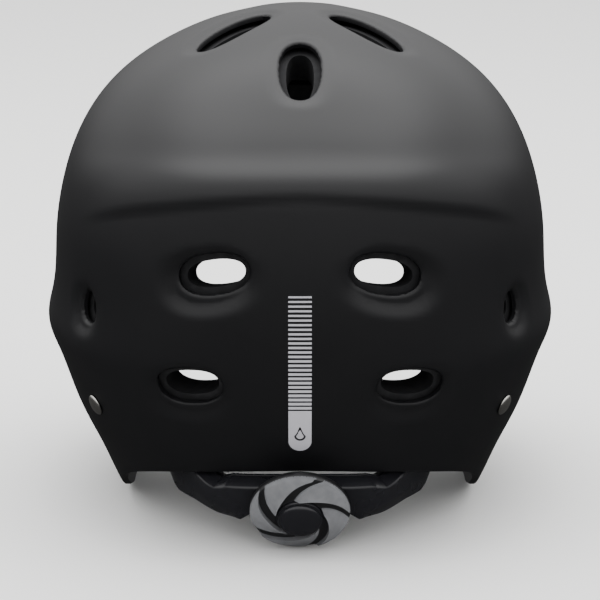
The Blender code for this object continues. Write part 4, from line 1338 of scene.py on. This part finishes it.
buckle_place = Matrix.Translation(BUCKLE) @ Matrix.Rotation(math.radians(-4), 4, "Z")
acetal = nylon_material("moulded_black_acetal", "#161618", 0.28, 2200.0)
socket_half = [(0, -12.2), (1.2, -13), (6, -13), (9, -12.2), (17, -12.2), (20, -13),
               (25, -13), (34, -10.6)]
socket = rounded_prism("buckle_socket", mirrored(socket_half), -4.6, 4.6, buckle_place, 0.9)
cut_away(socket,
         soft_box("mouth", (-2, -11.5, -2.8), (26, 11.5, 2.8), buckle_place, 0.4, 2),
         soft_box("window", (7, -15, -2.8), (19, 15, 2.8), buckle_place, 0.8, 2),
         soft_box("web_slot", (28.2, -8.6, -6), (31.2, 8.6, 6), buckle_place, 0.5, 2),
         soft_box("thumb_rest", (9, -5, 4.15), (21, 5, 6), buckle_place, 0.4, 2))
shade(socket, 35)
fit(socket, acetal, "chin_strap", "nylon", "buckle_female")
tongue_half = [(-26, -13), (-4, -13), (-0.3, -13), (-0.3, -10.2), (8, -10.2), (9.5, -11.3),
               (17, -11.3), (22, -8.4), (22, -6.6), (4, -6.6), (3, -1.6), (20, -1.6)]
tongue = rounded_prism("buckle_tongue_plate", mirrored(tongue_half), -2.3, 2.3, buckle_place,
                       0.55, 2)
cut_away(tongue,
         soft_box("rear_slot", (-22.5, -8.6, -4), (-18.5, 8.6, 4), buckle_place, 0.4, 2),
         soft_box("front_slot", (-13.5, -8.6, -4), (-9.5, 8.6, 4), buckle_place, 0.4, 2),
         *[soft_box("grip_groove", (-7.2 + 1.6 * k, -9, 1.9), (-6.5 + 1.6 * k, 9, 4), buckle_place,
                    0.15, 1) for k in range(4)])
shade(tongue, 35)
fit(tongue, acetal, "buckle_tongue", "nylon", "buckle_male")

# --- Nape cradle ------------------------------------------------------------------------
# The fit system is a channel of glass-filled nylon with two wings, closed by a screwed
# cover that carries a soft nape pad. Thin bands run from it to a pivot at each temple.
DIAL_FACE = Vector((0, -118, 18.2))
DIAL_TILT = math.radians(30)
TRACK_DEPTH = 9.9
CRADLE_PIVOT = Vector((84.4, 34, 82))
WING_END, COVER_END, NAPE_END, BAND_START = 53.0, 48.0, 46.0, 24.0
BAND_THICKNESS, BAND_WIDTH = 1.4, 8.6
WING_DEPTH = [(0, 7.8), (20, 7.8), (25, 11.8), (34, 11.1), (42, 11.2), (47, 12.4), (48.5, 11),
              (50, 8.5), (53.5, 5)]
dial_out = Vector((0, -math.cos(DIAL_TILT), -math.sin(DIAL_TILT)))
dial_up = Vector((0, -math.sin(DIAL_TILT), math.cos(DIAL_TILT)))


def track_route(steps=12):
    """The line that the racks and bands follow, from the dial out to the right temple."""
    middle = DIAL_FACE - dial_out * TRACK_DEPTH
    bend = [(19, middle.y, middle.z), (27, -107.6, 23.1), (34, -102.2, 23.4),
            (41, -92.5, 26), (47.5, -82.5, 29), (54, -71, 33), (60.5, -57, 37.5),
            (67.5, -41, 43), (72.5, -22, 50), (77.5, 0, 59), (81.5, 18, 70),
            tuple(CRADLE_PIVOT)]
    return catmull(bend, steps)


def track_outs(path):
    """Which way is outward along the track: down at the dial, level at the temples."""
    outs = []
    for point in path:
        level = Vector((point.x, min(point.y * 0.8, 0), 0)).normalized()
        outs.append(dial_out.lerp(level, float(ease((abs(point.x) - 26) / 40))))
    return outs


def along_track(name, reach, section, eased):
    """A section carried along the track to this x on both sides, with eased edges."""
    right = [p for p in track_route() if p.x <= reach]
    inner = [Vector((x, right[0].y, right[0].z)) for x in np.linspace(0, 17, 8)]
    right = inner + right
    path = [Vector((-p.x, p.y, p.z)) for p in reversed(right[1:])] + right
    piece = mesh_object(name, sweep(path, track_outs(path), section))
    if eased:
        bevel = piece.modifiers.new("eased_edges", "BEVEL")
        bevel.width = eased * MM
        bevel.segments = 2
        bevel.limit_method = "ANGLE"
        bevel.angle_limit = math.radians(40)
        apply_modifiers(piece)
    shade(piece, 50)
    return piece


def wing_depth(x):
    xs, depths = np.array(WING_DEPTH).T
    return float(np.interp(abs(x), xs, depths))


def channel_section(point):
    """An open channel; its outer face folds back above a line that catches the light."""
    share = min(max((abs(point.x) - 27) / 5, 0), 1)
    top = 7.8 - 2.0 * share
    low = wing_depth(point.x)
    inner_low = 7.8 - 0.5 * share
    wall = 1.2
    proud = 0.9 * min(max((abs(point.x) - 22) / 4, 0), 1)
    return [(2.2, -low), (3.3, 0.6 - low), (3.5 + proud * 0.5, -low * 0.55),
            (3.5 + proud, -2.6), (3.5, -0.8), (3.3, top - 0.6), (2.6, top), (-3.3, top),
            (-3.3, top - wall), (2.1, top - wall), (2.1, wall - inner_low),
            (-3.3, wall - inner_low), (-3.3, -inner_low), (0.6, -inner_low), (1.2, -low)]


def cover_section(point):
    top = 7.4 - 2.4 * min(max((abs(point.x) - 27) / 5, 0), 1)
    return [(-4.0, -7.4), (-4.0, top), (-5.2, top), (-5.2, -7.4)]


def in_metres(matrix):
    placed = matrix.copy()
    placed.translation = matrix.translation * MM
    return placed


def dial_frame():
    """The dial's own frame: Z out along its axis, Y up its face."""
    turn = Matrix((dial_up.cross(dial_out), dial_up, dial_out)).transposed().to_4x4()
    return Matrix.Translation(DIAL_FACE) @ turn


def placed_mesh(name, body, place):
    bmesh.ops.transform(body, matrix=place, verts=body.verts)
    return mesh_object(name, body)


satin_nylon = nylon_material("satin_black_nylon", "#1c1c20", 0.27, 2400.0)
housing = along_track("cradle_channel", WING_END, channel_section, 0.45)
cut_away(housing, placed_mesh("axle_bore", turned([(0, -9.2), (3.3, -9.2), (3.3, -4), (0, -4)]),
                              dial_frame()))
shade(housing, 50)
fit(housing, satin_nylon, "cradle", "nylon", "cradle_housing")
cover = along_track("cradle_back_cover", COVER_END, cover_section, 0.35)
fit(cover, satin_nylon, "cradle", "nylon", "cradle_cover")

right_half = [p for p in track_route(4) if p.x <= NAPE_END - 1.5]
pad_line = [Vector((-p.x, p.y, p.z)) for p in reversed(right_half)]
pad_line += [Vector((x, right_half[0].y, right_half[0].z)) for x in (-12.7, -6.3, 0, 6.3, 12.7)]
pad_line += right_half
nape_form = cushion_section((-7.95, -4.75), 1.35, 5.3)
nape_pad = inflate(mesh_object("nape_pad_cover", sweep(pad_line, track_outs(pad_line),
                                                       nape_form)), 1.2, 0.5)
nape_outs = track_outs(pad_line)
nape_mid = [p + dial_up * -4.75 - o * 9.8 for p, o in zip(pad_line, nape_outs)]
nape_edges = edge_lines(nape_mid[2:-2], nape_outs[2:-2], 3.6, 0.0)
nape_rays = [Vector(o).normalized() for o in nape_outs[2:-2]]
nape_seam = sew_groove(nape_pad, nape_edges[0] + nape_edges[1][::-1],
                       nape_rays + nape_rays[::-1])
fit(nape_pad, knit_cloth, "cradle", "pad_cloth", "nape_pad")
sew("nape_pad_stitching", [nape_seam], True, "cradle", "pad_cloth")

band_form = [(0.62 * BAND_THICKNESS / 1.24 * (1 - abs(s) ** 8) ** 0.5, s * BAND_WIDTH / 2)
             for s in np.linspace(-1, 1, 13)]
band_form += [(-a, b) for a, b in reversed(band_form[1:-1])]
for side, sign in (("left", -1), ("right", 1)):
    route = [Vector((sign * p.x, p.y, p.z)) for p in track_route() if p.x > BAND_START]
    band = mesh_object(f"{side}_fit_band", sweep(route, track_outs(route), band_form))
    pivot = Matrix.Translation((sign * CRADLE_PIVOT.x, CRADLE_PIVOT.y, CRADLE_PIVOT.z))
    pivot = pivot @ Matrix.Rotation(sign * math.pi / 2, 4, "Y")
    hole = bmesh.new()
    bmesh.ops.create_cone(hole, cap_ends=True, segments=32, depth=12, radius1=2.6,
                          radius2=2.6, matrix=pivot)
    cut_away(band, mesh_object("pivot_hole", hole))
    shade(band, 40)
    fit(band, satin_nylon, None, "nylon", f"band_{side}")
    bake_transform(band)
    pin = placed_mesh(f"{side}_temple_pin", turned(
        [(0, 2.6), (1.6, 2.6), (1.9, 2.9), (5.5, 2.8), (6, 2.4), (6, 1.8), (2.1, 1.8),
         (2.1, -2.0), (4.6, -2.0), (4.5, -2.5), (4.0, -3.2), (1.5, -3.2), (1.2, -2.8),
         (0, -2.8)], 40), pivot)
    shade(pin, 40)
    fit(pin, black_nylon, "helmet", "nylon", f"temple_pivot_{side}")

# --- Dial -------------------------------------------------------------------------------
# A thumb dial on the channel: a nylon wheel and domed cap, with five soft grey rubber
# vanes moulded over the wheel. Its pinion draws in two racks, one above and one below.
DIAL_RADIUS, HUB_RADIUS, VANE_COUNT = 20.3, 9.6, 5
RIM_FLOOR, HUB_FLOOR, RIM_VANE, HUB_VANE = -0.7, 2.0, 1.0, 4.3
PINION_RADIUS, PINION_ROOT, RACK_TRAVEL_RADIUS, TEETH = 3.4, 2.6, 3.6, 10
RACK_TIP, RACK_ROOT, RACK_BACK, RACK_END, RACK_THICKNESS = 3.75, 4.6, 6.3, 22.6, 3.0


def wheel_floor(share):
    return HUB_FLOOR + (RIM_FLOOR - HUB_FLOOR) * share ** 0.8


def leading_edge(share):
    """The vane's raised edge: it leaves the hub almost along it and then runs outward."""
    return math.radians(71 + 62 * (1 - share) + 34 * (1 - share) ** 8)


def trailing_edge(share):
    return math.radians(172 - 38 * share + 4 * (1 - share) ** 3)


def vane_body():
    """One vane: a soft petal, high along its leading edge and low along the other."""
    columns, rows = 26, 30
    shares = np.linspace(0.02, 1, rows)
    top = np.zeros((columns, rows, 3))
    foot = np.zeros((columns, rows, 3))
    for i, across in enumerate(np.linspace(0, 1, columns)):
        for j, share in enumerate(shares):
            angle = leading_edge(share) * (1 - across) + trailing_edge(share) * across
            radius = HUB_RADIUS + 0.3 + (DIAL_RADIUS - HUB_RADIUS - 0.3) * share
            floor = wheel_floor(share)
            crest = HUB_VANE + (RIM_VANE - HUB_VANE) * share ** 0.8
            fall = 1 - 0.72 * ease(across * 1.02) + 0.10 * math.sin(math.pi * across)
            side = min(1, across / 0.045, (1 - across) / 0.10)
            end = min(1, (1 - share) / 0.07, (share + 0.02) / 0.08)
            rounding = math.sqrt(max(0.0, 1 - (1 - max(side, 0)) ** 2))
            rounding *= math.sqrt(max(0.0, 1 - (1 - max(end, 0)) ** 2)) * 0.8 + 0.2
            lift = (crest - floor) * fall * rounding
            spot = radius * math.cos(angle), radius * math.sin(angle)
            top[i, j] = *spot, floor - 0.1 + max(lift, 0.05)
            foot[i, j] = *spot, floor - 0.8
    return closed_slab(top, foot, False)


def ring_tree():
    """The same body set round the axis a number of times."""
    tree, given, end = new_tree("ring_of_vanes", Count="Int", Material="Material")
    points = add_node(tree, "GeometryNodePoints", Count=given["Count"])
    index = add_node(tree, "GeometryNodeInputIndex")
    step = add_node(tree, "ShaderNodeMath", {"operation": "DIVIDE"}, at0=math.tau,
                    at1=given["Count"])
    turn = add_node(tree, "ShaderNodeMath", {"operation": "MULTIPLY"}, at0=index.outputs[0],
                    at1=step.outputs[0])
    angle = add_node(tree, "ShaderNodeCombineXYZ", Z=turn.outputs[0])
    placed = add_node(tree, "GeometryNodeInstanceOnPoints", Points=points.outputs[0],
                      Instance=given["Geometry"], Rotation=angle.outputs[0])
    close_tree(tree, end, placed.outputs[0], given["Material"])
    return tree


def rubber_material():
    """Soft over-moulded rubber: mid grey and quite matt, with a fine dry texture."""
    material, tree, shader = new_material("overmoulded_grey_rubber", "#6b6c6e", 0.62,
                                          Specular_IOR_Level=0.35)
    place = add_node(tree, "ShaderNodeTexCoord").outputs["Object"]
    dust = add_node(tree, "ShaderNodeTexNoise", Vector=place, Scale=260.0, Detail=5.0)
    fine = add_node(tree, "ShaderNodeTexNoise", Vector=place, Scale=2400.0, Detail=2.0)
    tone = add_node(tree, "ShaderNodeMix", {"data_type": "RGBA"}, at0=dust.outputs["Fac"],
                    at6=hex_colour("#5c5d60"), at7=hex_colour("#7a7b7e"))
    add_bump(tree, shader, fine.outputs["Fac"], 0.2, 0.0001)
    tree.links.new(tone.outputs[2], shader.inputs["Base Color"])
    return material


grey_rubber = rubber_material()
wheel_profile = [(0, 0.2), (HUB_RADIUS, 0.2)]
wheel_profile += [(HUB_RADIUS + (DIAL_RADIUS - HUB_RADIUS) * s, wheel_floor(s))
                  for s in np.linspace(0, 0.97, 14)]
wheel_profile += [(DIAL_RADIUS, -1.1), (DIAL_RADIUS, -3.4), (DIAL_RADIUS - 0.5, -4.4),
                  (DIAL_RADIUS - 1.8, -5.8), (DIAL_RADIUS - 2.6, -6.0), (2.9, -6.0),
                  (2.9, -7.5), (0, -7.5)]
wheel = placed_mesh("dial_wheel", turned(wheel_profile, 96), dial_frame())
shade(wheel, 35)
fit(wheel, black_nylon, "dial", "nylon", "dial_base")
vanes = mesh_object("dial_vanes", vane_body())
run_tree(vanes, ring_tree(), Count=VANE_COUNT, Material=grey_rubber)
vanes.data.transform(in_metres(dial_frame()))
shade(vanes, 60)
fit(vanes, grey_rubber, "dial", "dial_rubber", "dial_grip")
cap_profile = [(0, 7.0)]
cap_profile += [(8.6 * math.sin(a), 4.2 + 2.8 * math.cos(a)) for a in np.radians(range(8, 90, 8))]
cap_profile += [(8.7, 3.9), (8.7, 3.4), (9.1, 3.2), (9.4, 2.8), (9.5, 2.2), (9.5, 0.6), (0, 0.6)]
cap = placed_mesh("dial_cap", turned(cap_profile, 80), dial_frame())
shade(cap, 35)
fit(cap, satin_nylon, "dial", "nylon", "dial_hub_cap")

pinion_outline = []
for k in range(TEETH):
    for share, radius in ((0, PINION_ROOT), (0.2, PINION_ROOT), (0.42, PINION_RADIUS),
                          (0.55, PINION_RADIUS + 0.05), (0.68, PINION_RADIUS),
                          (0.9, PINION_ROOT)):
        a = math.tau * (k + share) / TEETH
        pinion_outline.append((radius * math.cos(a), radius * math.sin(a)))
pinion = rounded_prism("dial_pinion", pinion_outline, -12.6, -7.8, dial_frame(), 0.15, 1)
shade(pinion, 35)
fit(pinion, acetal, "dial", "nylon", "pinion")
pitch = math.tau * RACK_TRAVEL_RADIUS / TEETH
for side in ("left", "right"):
    outline = [(-1.2, RACK_BACK), (-1.2, RACK_ROOT)]
    for k in range(TEETH):
        foot = -0.8 + k * pitch
        outline += [(foot + 0.3, RACK_ROOT), (foot + 0.8, RACK_TIP), (foot + 1.3, RACK_TIP),
                    (foot + 1.8, RACK_ROOT)]
    outline += [(RACK_END, RACK_ROOT), (RACK_END, RACK_BACK)]
    place = dial_frame()
    if side == "left":
        place = place @ Matrix.Rotation(math.pi, 4, "Z")
    rack = rounded_prism(f"{side}_rack", outline, -TRACK_DEPTH - RACK_THICKNESS / 2,
                         -TRACK_DEPTH + RACK_THICKNESS / 2, place, 0.12, 1)
    shade(rack, 35)
    fit(rack, acetal, f"{side}_rack_body", "nylon", f"rack_{side}")
